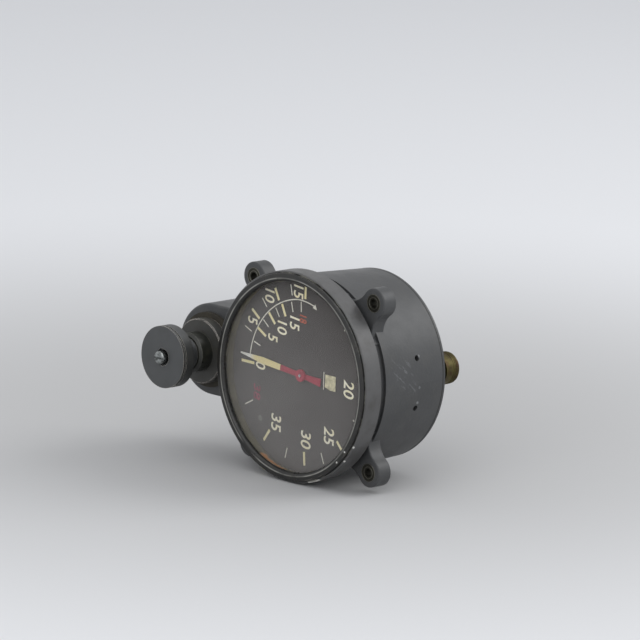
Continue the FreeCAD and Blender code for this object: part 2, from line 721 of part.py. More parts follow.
# Movement: two plates on pillars, crossed coils round a magnet drum, hairspring and bearings
def make_movement():
    plate = turned_piece("movement_front_plate", ring_corners(
        "bearing_radius + fit_clearance", "front_plate_radius", "plate_front", "plate_rear"))
    drill(plate, "0", "pillar_circle", "pillar_screw + fit_clearance", "plate_front", "front_plate_thickness", "pillar_count")
    base = turned_piece("movement_base", ring_corners(
        "bearing_radius + fit_clearance", "base_radius", "base_front", "base_rear"))
    drill(base, "0", "pillar_circle", "pillar_screw + fit_clearance", "base_front", "base_thickness", "pillar_count")
    for side in (-1, 1):
        radial_pocket(base, side, "grub_start", "2 * grub_reach")
    turned_piece("front_bearing", ring_corners("pivot_bore", "bearing_radius", "plate_front", "plate_rear"))
    turned_piece("rear_bearing", ring_corners("pivot_bore", "bearing_radius", "base_front", "base_rear"))
    pillar_group("movement_pillars", [ring_corners("pillar_screw", "pillar_radius", "plate_rear", "base_front")])
    pillar_group("pillar_screws", [
        screw_corners("pillar_screw", "pillar_head", "plate_front", "-pillar_head_height", "pillar_screw_length"),
        screw_corners("pillar_screw", "pillar_head", "base_rear", "pillar_head_height",
                      "-(base_thickness + pillar_screw_length)")])
    turned_piece("coil_former_front", former_corners("former_front", "former_wall"))
    turned_piece("coil_former_rear", former_corners("former_rear", "-former_wall"))
    turned_piece("rotor_magnet", ring_corners("spindle_radius", "magnet_radius", "magnet_front", "magnet_rear"))
    turned_piece("spring_collet", ring_corners("spindle_radius", "collet_radius", "collet_front", "collet_rear"))
    make_coil("inner_field_coil", "inner_coil_front", "inner_coil_rear", "YZ_Plane")
    make_coil("outer_field_coil", "outer_coil_front", "outer_coil_rear", "XY_Plane")


def former_corners(end, wall):
    bore = "2 * spindle_radius"
    return [(bore, end), ("former_radius", end), ("former_radius", "former_middle"),
            ("former_radius - former_wall", "former_middle"), ("former_radius - former_wall", "%s + %s" % (end, wall)),
            (bore, "%s + %s" % (end, wall))]


def screw_corners(shank, head, seat, head_height, length):
    return [("0", "%s + %s" % (seat, head_height)), (head, "%s + %s" % (seat, head_height)), (head, seat),
            (shank, seat), (shank, "%s + %s" % (seat, length)), ("0", "%s + %s" % (seat, length))]


def pillar_group(name, outlines):
    """The same turned piece at each pillar; several outlines give several pieces per pillar."""
    solid_group(name, outlines, "pillar_circle", "pillar_count", "90")


def solid_group(name, outlines, circle, count, first_angle, spread="360", centre="0", slotted=None):
    """Turned pieces repeated on a circle as one node of separate solids; slotted names a head's radius."""
    group = doc.addObject("Part::Compound", name)
    links = []
    total = int(round(number(count)))
    step = number(spread) / (total if number(spread) > 359 else max(total - 1, 1))
    for index in range(total):
        angle = math.radians(number(first_angle) + index * step)
        for outline in outlines:
            wire = Part.makePolygon([Vector(number(x), number(y), 0) for x, y in outline + outline[:1]])
            solid = Part.Face(wire).revolve(Vector(), Vector(0, 1, 0), 360)
            if slotted:
                solid = solid.cut(head_slot(slotted, outline[0][1], 25 + 50 * index))
            item = doc.addObject("Part::Feature", name + "_one")
            item.Shape = solid
            item.Placement = FreeCAD.Placement(
                Vector(number(circle) * math.cos(angle), 0, number(circle) * math.sin(angle)), FreeCAD.Rotation())
            links.append(item)
    group.Links = links
    bind(group, ".Placement.Base.x", centre)
    return keep(group, name)


def head_slot(head, top, angle):
    """The bar that cuts a driver's slot into a head whose outer face looks along +y."""
    width, depth, reach = number("head_slot"), number("head_slot_depth"), number(head) + number("head_slot")
    bar = Part.makeBox(2 * reach, 2 * depth, width, Vector(-reach, number(top) - depth, -width / 2))
    bar.rotate(Vector(), Vector(0, 1, 0), angle)
    return bar


def make_coil(name, front, rear, role):
    """Two rectangular loops of wire, one each side of the spindle."""
    body = new_body(name)
    for side in (-1, 1):
        offset = "%s%s" % ("-" if side < 0 else "", "(coil_gap + coil_width) / 2")
        sketch = sketch_on(body, role, "%s - coil_width / 2" % offset)
        half = "former_radius + coil_clearance"
        if role == "YZ_Plane":
            outer = box_corners(front, "-(%s + coil_thickness)" % half, rear, "%s + coil_thickness" % half)
            inner = box_corners("%s + coil_thickness" % front, "-(%s)" % half, "%s - coil_thickness" % rear, half)
        else:
            outer = box_corners("-(%s + coil_thickness)" % half, front, "%s + coil_thickness" % half, rear)
            inner = box_corners("-(%s)" % half, "%s + coil_thickness" % front, half, "%s - coil_thickness" % rear)
        draw_outline(sketch, outer)
        draw_outline(sketch, inner)
        loop = body.newObject("PartDesign::Pad", name + "_loop")
        loop.Profile = sketch
        bind(loop, "Length", "coil_width")
        body.Tip = loop
    return body


def make_hairspring():
    """Flat spiral made of half circles, each turn one pitch wider than the last."""
    start, pitch, strip = number("hairspring_start"), number("hairspring_pitch"), number("hairspring_strip")
    front, width = number("hairspring_front"), number("hairspring_width")
    edges = []
    ends = []
    for offset in (strip / 2, -strip / 2):
        x = start
        sign = 1
        chain = []
        for half_turn in range(2 * int(sizes["hairspring_turns"])):
            radius = start + half_turn * pitch / 2 + pitch / 4
            centre = x - sign * radius
            reach = radius + offset
            begin = Vector(centre + sign * reach, front, 0)
            middle = Vector(centre, front, sign * reach)
            finish = Vector(centre - sign * reach, front, 0)
            chain.append(Part.Arc(begin, middle, finish).toShape())
            x = centre - sign * radius
            sign = -sign
        edges.append(chain)
        ends.append((chain[0].valueAt(chain[0].FirstParameter), finish))
    caps = [Part.makeLine(ends[0][end], ends[1][end]) for end in (0, 1)]
    outline = Part.Wire(Part.__sortEdges__(edges[0] + edges[1] + caps))
    spring = doc.addObject("Part::Feature", "hairspring")
    spring.Shape = Part.Face(outline).extrude(Vector(0, width, 0))
    keep(spring, "hairspring")
    stud = new_body("hairspring_stud")
    post = draw_circle(sketch_on(stud, "XZ_Plane", "hairspring_front"), "stud_place", "0", "stud_radius")
    extrude(stud, post, "plate_front - hairspring_front")


def make_spools():
    spool = [("pillar_screw", "base_rear"), ("spool_radius", "base_rear"), ("spool_radius", "base_rear + spool_flange"),
             ("spool_core", "base_rear + spool_flange"), ("spool_core", "base_rear + spool_length - spool_flange"),
             ("spool_radius", "base_rear + spool_length - spool_flange"), ("spool_radius", "base_rear + spool_length"),
             ("pillar_screw", "base_rear + spool_length")]
    first = "180 - spool_spread"
    solid_group("resistor_spools", [spool], "spool_circle", "3", first, "2 * spool_spread")
    solid_group("spool_screws", [screw_corners(
        "pillar_screw", "pillar_head", "base_rear + spool_length", "pillar_head_height", "-spool_length")],
        "spool_circle", "3", first, "2 * spool_spread")


def make_fasteners():
    inserts = ring_corners("thread_radius", "insert_radius", "0", "lug_depth")
    solid_group("lug_inserts", [inserts], "hole_radius", "4", "hole_turn")
    grubs = doc.addObject("Part::Compound", "case_grub_screws")
    links = []
    for side in (-1, 1):
        screw = doc.addObject("Part::Cylinder", "grub_screw")
        bind(screw, "Radius", "grub_radius")
        bind(screw, "Height", "grub_length")
        turn = FreeCAD.Rotation(Vector(0, 1, 0), 90 - side * number("grub_spread / 2"))
        along = turn.multVec(Vector(0, 0, 1))
        start = along * number("grub_start") + Vector(0, number("grub_place"), 0)
        screw.Placement = FreeCAD.Placement(start, turn)
        links.append(screw)
    grubs.Links = links
    keep(grubs, "case_grub_screws")


# Rear cover, its seal and screws, and the connector
def make_rear():
    seal = turned_piece("rear_seal", ring_corners("case_rear - seal_width", "case_rear", "case_end", "cover_front"))
    drill(seal, "boss_circle", "0", "cover_screw + fit_clearance", "case_end", "seal_thickness", "4", "hole_turn")
    cover = turned_piece("rear_cover", ring_corners("0", "case_rear", "cover_front", "cover_rear"))
    soften(cover, "Chamfer", "cover_chamfer", ring_test(("case_rear", "cover_rear")))
    drill(cover, "boss_circle", "0", "cover_screw + fit_clearance", "cover_front", "cover_thickness", "4", "hole_turn")
    drill(cover, "plug_offset", "0", "plug_tail_thread + fit_clearance", "cover_front", "cover_thickness")
    screw = screw_corners("cover_screw", "cover_head", "cover_rear", "cover_head_height",
                          "-(cover_thickness + seal_thickness + cover_screw_length)")
    solid_group("rear_cover_screws", [screw], "boss_circle", "4", "hole_turn", slotted="cover_head")
    shell = turned_piece("connector_shell", [
        ("plug_bore", "plug_start"), ("plug_tail_thread", "plug_start"), ("plug_tail_thread", "cover_rear"),
        ("plug_flange", "cover_rear"), ("plug_flange", "plug_barrel"), ("plug_radius", "plug_barrel"),
        ("plug_radius", "groove_start"), ("plug_radius - plug_groove_depth", "groove_start"),
        ("plug_radius - plug_groove_depth", "groove_end"), ("plug_radius", "groove_end"),
        ("plug_radius", "plug_end"), ("plug_bore", "plug_end")], "plug_offset")
    soften(shell, "Chamfer", "plug_chamfer", ring_test(("plug_radius", "plug_end"), ("plug_flange", "plug_barrel")))
    core = turned_piece("connector_insulator", ring_corners(
        "0", "plug_bore - fit_clearance", "plug_start", "plug_seat"), "plug_offset")
    drill(core, "pin_circle", "0", "pin_radius", "plug_start", "plug_seat - plug_start", "pin_count")
    pin = ring_corners("0", "pin_radius", "plug_start - pin_tail", "plug_end - pin_setback")
    solid_group("connector_pins", [pin], "pin_circle", "pin_count", "0", "360", "plug_offset")
    nut = new_body("connector_nut", "plug_offset")
    hexagon = [("plug_nut * cos(%d)" % angle, "plug_nut * sin(%d)" % angle) for angle in range(30, 390, 60)]
    extrude(nut, draw_outline(sketch_on(nut, "XZ_Plane", "cover_front - plug_nut_height"), hexagon), "plug_nut_height")
    drill(nut, "0", "0", "plug_tail_thread + fit_clearance", "cover_front - plug_nut_height", "plug_nut_height")


# Selector switch: cap, bush, shaft, knob, detent and contacts
def make_switch_front():
    centre = "-switch_offset"
    turned_piece("switch_seal_ring", ring_corners(
        "cap_spigot + fit_clearance", "ring_radius", "ring_front", "housing_front"), centre)
    cap = turned_piece("switch_cap", [
        ("bush_radius", "cap_front"), ("cap_radius", "cap_front"), ("cap_radius", "ring_front"),
        ("cap_spigot", "ring_front"), ("cap_spigot", "cap_end"), ("bush_radius", "cap_end")], centre)
    soften(cap, "Chamfer", "cap_edge", ring_test(("cap_radius", "cap_front")))
    turned_piece("switch_ring_nut", ring_corners(
        "cap_spigot", "cap_nut_radius", "cavity_front", "cavity_front + cap_nut_thickness"), centre)
    bush = turned_piece("shaft_bush", [
        ("shaft_bore", "bush_front"), ("bush_flange", "bush_front"), ("bush_flange", "cap_front"),
        ("bush_radius", "cap_front"), ("bush_radius", "cap_end"), ("shaft_bore", "cap_end")], centre)
    soften(bush, "Chamfer", "bush_chamfer", ring_test(("bush_flange", "bush_front")))
    groove_front = "clip_front"
    turned_piece("switch_shaft", [
        ("0", "shaft_start"), ("shaft_radius", "shaft_start"), ("shaft_radius", groove_front),
        ("shaft_radius - clip_groove", groove_front),
        ("shaft_radius - clip_groove", "clip_front + clip_thickness"),
        ("shaft_radius", "clip_front + clip_thickness"), ("shaft_radius", "shaft_rear"), ("0", "shaft_rear")], centre)
    drill(pieces[-1], "0", "0", "screw_shank", "shaft_start", "recess_floor + screw_length - shaft_start")
    knob = turned_piece("selector_knob", [
        ("screw_shank", "recess_floor"), ("knob_recess", "recess_floor"), ("knob_recess", "knob_face"),
        ("knob_radius", "knob_face"), ("knob_radius", "knob_face + knob_flange"),
        ("knob_radius - knob_groove", "knob_face + knob_flange"),
        ("knob_radius - knob_groove", "knob_face + knob_flange + knob_groove_width"),
        ("knob_radius", "knob_face + knob_flange + knob_groove_width"), ("knob_radius", "disc_rear"),
        ("knob_hub", "disc_rear"), ("knob_hub", "knob_end"), ("shaft_radius", "knob_end"),
        ("shaft_radius", "shaft_start"), ("screw_shank", "shaft_start")], centre)
    soften(knob, "Fillet", "knob_edge", ring_test(("knob_radius", "disc_rear"), ("knob_hub", "disc_rear")))
    screw = turned_piece("knob_screw", [
        ("0", "head_front"), ("screw_head", "head_front"), ("screw_head", "recess_floor"),
        ("screw_shank", "recess_floor"), ("screw_shank", "recess_floor + screw_length"),
        ("0", "recess_floor + screw_length")], centre)
    soften(screw, "Fillet", "screw_dome", ring_test(("screw_head", "head_front")))
    slot = draw_outline(sketch_on(screw, "XZ_Plane", "head_front"), box_corners(
        "-screw_head", "-screw_slot / 2", "screw_head", "screw_slot / 2"))
    extrude(screw, slot, "screw_slot_depth", cut=True)


def make_switch_inside():
    centre = "-switch_offset"
    wheel = turned_piece("detent_wheel", ring_corners("shaft_radius", "wheel_radius", "wheel_place", "wheel_rear"), centre)
    drill(wheel, "wheel_radius + notch_radius - notch_depth", "0", "notch_radius", "wheel_place", "wheel_thickness",
          "notch_count", "90")
    make_detent(centre)
    wiper = turned_piece("contact_wiper", ring_corners("shaft_radius", "wiper_hub", "wiper_place", "wiper_rear"), centre)
    arm = draw_outline(sketch_on(wiper, "XZ_Plane", "wiper_place"), box_corners(
        "-wiper_width / 2", "(shaft_radius + wiper_hub) / 2", "wiper_width / 2", "wiper_reach"))
    extrude(wiper, arm, "wiper_thickness")
    bump = draw_circle(sketch_on(wiper, "XZ_Plane", "wiper_rear"), "0", "contact_circle", "contact_radius")
    extrude(wiper, bump, "wiper_bump")
    deck = turned_piece("contact_deck", ring_corners("shaft_bore", "deck_radius", "deck_front", "deck_rear"), centre)
    for step in range(int(sizes["contact_count"])):
        angle = contact_angle(step)
        drill(deck, "contact_circle * cos(%s)" % angle, "contact_circle * sin(%s)" % angle, "contact_radius",
              "deck_front", "deck_thickness")
    contact = [("0", "contact_front"), ("contact_radius", "contact_front"), ("contact_radius", "deck_rear"),
               ("contact_radius + fit_clearance", "deck_rear"),
               ("contact_radius + fit_clearance", "deck_rear + contact_height"), ("0", "deck_rear + contact_height")]
    solid_group("deck_contacts", [contact], "contact_circle", "contact_count", "90 - contact_spread / 2",
                "contact_spread", centre)
    turned_piece("shaft_clip", ring_corners("shaft_radius - clip_groove", "clip_radius", "clip_front",
                                            "clip_front + clip_thickness"), centre)
    turned_piece("deck_clamp_ring", ring_corners("deck_radius - deck_ring_wall", "deck_radius", "deck_rear",
                                                 "housing_end"), centre)
    cover = turned_piece("switch_back_cover", ring_corners("0", "back_cover_radius", "housing_end", "back_cover_rear"), centre)
    drill(cover, "back_screw_circle", "0", "back_screw + fit_clearance", "housing_end", "back_cover_thickness",
          "back_screw_count")
    soften(cover, "Chamfer", "cover_chamfer", ring_test(("back_cover_radius", "back_cover_rear")))
    screw = screw_corners("back_screw", "back_head", "back_cover_rear", "back_head_height",
                          "-(back_cover_thickness + back_screw_length)")
    solid_group("switch_cover_screws", [screw], "back_screw_circle", "back_screw_count", "0", "360", centre,
                slotted="back_head")


def contact_angle(step):
    return "(90 - contact_spread / 2 + %d * contact_spread / (contact_count - 1))" % step


def make_detent(centre):
    """Ball, spring and guide that click into the wheel, on the side away from the case."""
    ball = doc.addObject("Part::Sphere", "detent_ball")
    bind(ball, "Radius", "ball_radius")
    bind(ball, ".Placement.Base.x", "-switch_offset - ball_place")
    bind(ball, ".Placement.Base.y", "wheel_middle")
    keep(ball, "detent_ball")
    guide = new_body("detent_guide", centre)
    sketch = sketch_on(guide, "YZ_Plane", "-(cavity_radius - guide_wall / 2)")
    draw_circle(sketch, "wheel_middle", "0", "ball_radius + guide_wall")
    draw_circle(sketch, "wheel_middle", "0", "ball_radius + fit_clearance")
    tube = guide.newObject("PartDesign::Pad", "guide_tube")
    tube.Profile = sketch
    bind(tube, "Length", "cavity_radius - guide_wall / 2 - ball_place")
    guide.Tip = tube
    coil_radius = number("ball_radius - 2 * spring_wire")
    length = number("cavity_radius - guide_wall / 2 - ball_place - ball_radius - 3 * spring_wire")
    helix = Part.makeHelix(length / number("spring_turns"), length, coil_radius)
    half = number("spring_wire / 2")
    corners = [(-half, -half), (half, -half), (half, half), (-half, half), (-half, -half)]
    wire = Part.makePolygon([Vector(coil_radius + x, 0, z) for x, z in corners])
    spring = doc.addObject("Part::Feature", "detent_spring")
    spring.Shape = Part.Wire(helix).makePipeShell([wire], True, True)
    start = Vector(-number("switch_offset + ball_place + ball_radius + 1.5 * spring_wire"), number("wheel_middle"), 0)
    spring.Placement = FreeCAD.Placement(start, FreeCAD.Rotation(Vector(0, 1, 0), -90))
    keep(spring, "detent_spring")


make_case()
make_bezel()
make_glass_ring()
make_front_group()
make_pointer()
make_movement()
make_hairspring()
make_spools()
make_fasteners()
make_rear()
make_switch_front()
make_switch_inside()
doc.recompute()

# Every object has to be sound before anything is written
broken = [item.Label for item in doc.Objects if "Invalid" in item.State or "Error" in item.State]
broken += [piece.Label for piece in pieces
           if piece.Shape.isNull() or not piece.Shape.isValid() or not piece.Shape.Solids]
if broken:
    raise RuntimeError("these did not build: %s" % ", ".join(broken))

os.makedirs("parts", exist_ok=True)
for piece in pieces:
    piece.Shape.exportStep("parts/%s.step" % piece.Label)
print("%d nodes written" % len(pieces))
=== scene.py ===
import math
import bmesh
import bpy
from mathutils import Matrix, Vector


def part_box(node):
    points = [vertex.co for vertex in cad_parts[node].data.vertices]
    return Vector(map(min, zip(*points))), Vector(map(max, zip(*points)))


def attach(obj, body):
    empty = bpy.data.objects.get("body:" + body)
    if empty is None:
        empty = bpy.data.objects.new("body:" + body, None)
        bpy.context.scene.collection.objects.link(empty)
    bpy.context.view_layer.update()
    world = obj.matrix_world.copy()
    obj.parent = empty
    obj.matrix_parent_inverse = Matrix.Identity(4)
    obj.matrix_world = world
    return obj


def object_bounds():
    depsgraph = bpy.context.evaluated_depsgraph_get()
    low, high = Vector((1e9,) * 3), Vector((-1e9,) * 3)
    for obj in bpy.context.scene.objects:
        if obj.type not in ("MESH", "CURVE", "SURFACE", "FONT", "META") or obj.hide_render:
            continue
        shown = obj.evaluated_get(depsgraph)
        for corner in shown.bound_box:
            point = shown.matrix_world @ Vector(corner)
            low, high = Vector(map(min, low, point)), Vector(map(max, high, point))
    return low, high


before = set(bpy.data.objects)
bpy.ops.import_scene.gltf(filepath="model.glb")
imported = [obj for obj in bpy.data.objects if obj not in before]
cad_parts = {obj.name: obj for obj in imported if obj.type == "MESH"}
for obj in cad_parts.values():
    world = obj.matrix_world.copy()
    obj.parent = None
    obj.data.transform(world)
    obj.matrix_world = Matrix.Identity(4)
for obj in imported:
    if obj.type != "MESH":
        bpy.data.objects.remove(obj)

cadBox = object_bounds()
mm = 0.001
perMetre = 1000  # a pattern's scale is how often it repeats in a metre, its size is in millimetres
print("frame loaded:", len(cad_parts), "nodes")


# Colours are written as sRGB hex and turned to linear here
def linear(hexColour):
    parts = [int(hexColour[i:i + 2], 16) / 255 for i in (1, 3, 5)]
    return tuple(c / 12.92 if c <= 0.04045 else ((c + 0.055) / 1.055) ** 2.4 for c in parts) + (1.0,)


# Gives a node the values of its unlinked sockets and its links from other nodes' outputs.
# A socket is given by its name, or by its number where several share a name.
def setSockets(tree, node, values, links):
    for name, value in values.items():
        node.inputs[name].default_value = value
    for name, output in links.items():
        tree.links.new(output, node.inputs[name])


# Adds one node: settings are its properties, values and links go to its sockets
def addNode(tree, kind, settings=None, values=None, links=None):
    node = tree.nodes.new(kind)
    for name, value in (settings or {}).items():
        setattr(node, name, value)
    setSockets(tree, node, values or {}, links or {})
    return node


multiply = {"operation": "MULTIPLY"}
colourMix = {"data_type": "RGBA"}  # socket 0 is the share of the second colour, 6 and 7 the colours, output 2


def newMaterial(name):
    material = bpy.data.materials.new(name)
    material.use_nodes = True
    tree = material.node_tree
    tree.nodes.clear()
    shader = addNode(tree, "ShaderNodeBsdfPrincipled")
    addNode(tree, "ShaderNodeOutputMaterial", links={"Surface": shader.outputs["BSDF"]})
    coords = addNode(tree, "ShaderNodeTexCoord").outputs["Object"]
    return material, tree, shader, coords


# How the masks below are drawn, the same for all finishes
maskLook = {"patchRoughness": 0.6, "bevelSamples": 6, "rimTurn": (0.99, 0.86), "spotDetail": 4.0,
            "spotGone": 0.55, "spotFull": 0.25, "ringFull": 0.4}


# Soft patches sizeMm across, by a noise given as (start, end, detail): 0 where it is under its start, and
# amount where it is over its end
def patchMask(tree, coords, sizeMm, noise, amount=1.0):
    start, end, detail = noise
    cloud = addNode(tree, "ShaderNodeTexNoise", {},
                    {"Scale": perMetre / sizeMm, "Detail": detail, "Roughness": maskLook["patchRoughness"]},
                    {"Vector": coords})
    return addNode(tree, "ShaderNodeMapRange", {}, {"From Min": start, "From Max": end, "To Max": amount},
                   {"Value": cloud.outputs["Fac"]}).outputs["Result"]


# 1 where the surface turns within widthMm, the way handling rubs paint off a rim, and the patches let it
def edgeWear(tree, widthMm, patches):
    rounded = addNode(tree, "ShaderNodeBevel", {"samples": maskLook["bevelSamples"]},
                      {"Radius": widthMm * mm})
    flat = addNode(tree, "ShaderNodeNewGeometry")
    turn = addNode(tree, "ShaderNodeVectorMath", {"operation": "DOT_PRODUCT"}, {},
                   {0: rounded.outputs["Normal"], 1: flat.outputs["Normal"]})
    rim = addNode(tree, "ShaderNodeMapRange", {},
                  {"From Min": maskLook["rimTurn"][0], "From Max": maskLook["rimTurn"][1]},
                  {"Value": turn.outputs["Value"]})
    return addNode(tree, "ShaderNodeMath", multiply, {}, {0: rim.outputs["Result"], 1: patches}).outputs[0]


# Tiny specks, sizeMm across, in some cells of a cellMm grid, more of them as the share rises
def speckMask(tree, coords, sizeMm, cellMm, share):
    cells = addNode(tree, "ShaderNodeTexVoronoi", {}, {"Scale": perMetre / cellMm}, {"Vector": coords})
    near = addNode(tree, "ShaderNodeMath", {"operation": "LESS_THAN"}, {1: sizeMm / cellMm / 2},
                   {0: cells.outputs["Distance"]})
    chosen = addNode(tree, "ShaderNodeMath", {"operation": "LESS_THAN"}, {1: share},
                     {0: cells.outputs["Color"]})
    return addNode(tree, "ShaderNodeMath", multiply, {},
                   {0: near.outputs[0], 1: chosen.outputs[0]}).outputs[0]


# One worn place: 1 at the spot and gone about reachMm from it, with a ragged border
def spotMask(tree, coords, spotMm, reachMm, raggedMm):
    ragged = addNode(tree, "ShaderNodeTexNoise", {},
                     {"Scale": perMetre / raggedMm, "Detail": maskLook["spotDetail"]}, {"Vector": coords})
    distance = addNode(tree, "ShaderNodeVectorMath", {"operation": "DISTANCE"}, {1: [v * mm for v in spotMm]},
                       {0: coords})
    wavy = addNode(tree, "ShaderNodeMath", {"operation": "MULTIPLY_ADD"}, {1: -reachMm * mm},
                   {0: ragged.outputs["Fac"], 2: distance.outputs["Value"]})
    return addNode(tree, "ShaderNodeMapRange", {},
                   {"From Min": reachMm * mm * maskLook["spotGone"],
                    "From Max": reachMm * mm * maskLook["spotFull"]},
                   {"Value": wavy.outputs[0]}).outputs["Result"]


# A ring about an axis along Y at axisMm on X: 1 near radiusMm, gone at halfMm to either side of it. It places
# painted highlight and painted shade.
def paintedLightRingMask(tree, coords, axisMm, radiusMm, halfMm):
    centred = addNode(tree, "ShaderNodeMapping", {}, {"Location": (-axisMm * mm, 0, 0), "Scale": (1, 0, 1)},
                      {"Vector": coords})
    radius = addNode(tree, "ShaderNodeVectorMath", {"operation": "LENGTH"}, {},
                     {0: centred.outputs["Vector"]})
    away = addNode(tree, "ShaderNodeMath", {"operation": "SUBTRACT"}, {1: radiusMm * mm},
                   {0: radius.outputs["Value"]})
    distance = addNode(tree, "ShaderNodeMath", {"operation": "ABSOLUTE"}, {}, {0: away.outputs[0]})
    return addNode(tree, "ShaderNodeMapRange", {},
                   {"From Min": halfMm * mm, "From Max": halfMm * mm * maskLook["ringFull"]},
                   {"Value": distance.outputs[0]}).outputs["Result"]


# The two close tones of a finish, in patches toneMm across
def twoTones(tree, coords, look):
    tone = patchMask(tree, coords, look["toneMm"], look["toneNoise"])
    return addNode(tree, "ShaderNodeMix", colourMix, {6: linear(look["base"]), 7: linear(look["shade"])},
                   {0: tone}).outputs[2]


# Roughness that wanders between the two values of gloss, in patches sizeMm across
def unevenGloss(tree, coords, look, sizeMm):
    return addNode(tree, "ShaderNodeMapRange", {}, {"To Min": look["gloss"][0], "To Max": look["gloss"][1]},
                   {"Value": patchMask(tree, coords, sizeMm, look["glossNoise"])}).outputs["Result"]


# Shallow relief of a surface: noise sizeMm across, depthMm deep
def relief(tree, coords, sizeMm, depthMm, detail):
    noise = addNode(tree, "ShaderNodeTexNoise", {}, {"Scale": perMetre / sizeMm, "Detail": detail},
                    {"Vector": coords})
    return addNode(tree, "ShaderNodeBump", {}, {"Distance": depthMm * mm},
                   {"Height": noise.outputs["Fac"]}).outputs["Normal"]


# What all enamels share. A noise is (start, end, detail), and soft is how far a border fades.
enamelLook = {"ior": 1.5, "coatMm": 0.05, "spots": [], "scuffs": [], "rings": [], "waveDetail": 2.0,
              "toneNoise": (0.35, 0.68, 3.0), "grimeNoise": (0.50, 0.70, 5.0),
              "scuffNoise": (0.55, 0.64, 5.0), "ringNoise": (0.30, 0.52, 3.0),
              "glossNoise": (0.3, 0.7, 5.0), "glossShare": 0.6,
              "rubSoft": 0.12, "rubDetail": 6.0, "chipSoft": 0.02, "chipDetail": 2.0}


# Enamel sprayed or brushed on metal: two close tones, grime, single worn places, scuffs, specks, rings of
# painted highlight and painted shade broken into patches, rims rubbed through and chips, over the fine waves
# that the spray leaves
def enamelFinish(name, look):
    material, tree, shader, coords = newMaterial(name)
    colour = twoTones(tree, coords, look)
    grime = patchMask(tree, coords, look["grimeMm"], look["grimeNoise"], look["grimeAmount"])
    layers = [(grime, look["grime"])]
    for spotMm, reachMm, hexColour in look["spots"]:
        layers.append((spotMask(tree, coords, spotMm, reachMm, look["spotRaggedMm"]), hexColour))
    for spotMm, reachMm in look["scuffs"]:
        turned = addNode(tree, "ShaderNodeMapping", {}, {"Rotation": (look["scuffTurn"], 0, 0)},
                         {"Vector": coords})
        drawn = addNode(tree, "ShaderNodeMapping", {}, {"Scale": (1, look["scuffLong"], 1)},
                        {"Vector": turned.outputs["Vector"]})
        lines = patchMask(tree, drawn.outputs["Vector"], look["scuffMm"], look["scuffNoise"],
                          look["scuffAmount"])
        place = spotMask(tree, coords, spotMm, reachMm, look["spotRaggedMm"])
        scuff = addNode(tree, "ShaderNodeMath", multiply, {}, {0: lines, 1: place})
        layers.append((scuff.outputs[0], look["scuff"]))
    specks = speckMask(tree, coords, look["speckMm"], look["speckCellMm"], look["speckShare"])
    layers.append((specks, look["specks"]))
    # Rings of painted highlight and painted shade about an axis, broken into patches
    for axisMm, radiusMm, halfMm, rubMm, hexColour in look["rings"]:
        patchy = patchMask(tree, coords, rubMm, look["ringNoise"])
        ring = addNode(tree, "ShaderNodeMath", multiply, {},
                       {0: paintedLightRingMask(tree, coords, axisMm, radiusMm, halfMm), 1: patchy})
        layers.append((ring.outputs[0], hexColour))
    rubNoise = (look["rubFrom"], look["rubFrom"] + look["rubSoft"], look["rubDetail"])
    rubbed = edgeWear(tree, look["rimMm"], patchMask(tree, coords, look["rubMm"], rubNoise))
    chipNoise = (look["chipFrom"], look["chipFrom"] + look["chipSoft"], look["chipDetail"])
    chips = patchMask(tree, coords, look["chipMm"], chipNoise)
    bare = addNode(tree, "ShaderNodeMath", {"operation": "MAXIMUM"}, {}, {0: rubbed, 1: chips}).outputs[0]
    layers.append((bare, look["bare"]))
    for mask, hexColour in layers:
        colour = addNode(tree, "ShaderNodeMix", colourMix, {7: linear(hexColour)},
                         {0: mask, 6: colour}).outputs[2]
    metallic = addNode(tree, "ShaderNodeMath", multiply, {1: look["bareMetal"]}, {0: bare})
    waves = relief(tree, coords, look["waveMm"], look["waveDepthMm"], look["waveDetail"])
    step = addNode(tree, "ShaderNodeBump", {"invert": True}, {"Distance": look["coatMm"] * mm},
                   {"Height": bare, "Normal": waves})
    setSockets(tree, shader, {"IOR": look["ior"]},
               {"Base Color": colour, "Metallic": metallic.outputs[0], "Normal": step.outputs["Normal"],
                "Roughness": unevenGloss(tree, coords, look, look["toneMm"] * look["glossShare"])})
    return material


# Case: satin grey enamel sprayed on cast aluminium. It gives a soft even sheen with slow waves, paler where
# the rims are rubbed, and a few scuffs on the side. Spots are (place, reach, colour), scuffs (place, reach).
caseLook = dict(enamelLook, base="#464748", shade="#404142", gloss=(0.40, 0.52), toneMm=16,
                grime="#53524f", grimeMm=7, grimeAmount=0.30, bare="#8e8f8f", bareMetal=0.5,
                rimMm=0.30, rubMm=6, rubFrom=0.56, chipMm=2.4, chipFrom=0.80,
                specks="#b9bab8", speckMm=0.4, speckCellMm=6, speckShare=0.22,
                spots=[((35.2, 20.9, 10.0), 0.8, "#7c7d7e"), ((35.0, 20.4, -7.3), 0.7, "#77797a"),
                       ((36.4, 20.6, -1.5), 0.7, "#66686a"), ((38.6, 5.5, 20.0), 0.8, "#c9c9c6")],
                scuffs=[((35.6, 10.4, 7.0), 5.5), ((36.4, 13.0, 3.0), 4.5), ((36.4, 16.2, -1.5), 3.2)],
                scuff="#77797b", scuffMm=0.9, scuffLong=0.22, scuffTurn=0.7, scuffAmount=0.4,
                spotRaggedMm=1.6, waveMm=1.1, waveDepthMm=0.05)
caseEnamel = enamelFinish("caseEnamelSprayed", caseLook)
coverEnamel = enamelFinish("coverEnamelSprayed", dict(caseLook, spots=[], scuffs=[], toneMm=11, rubFrom=0.60))

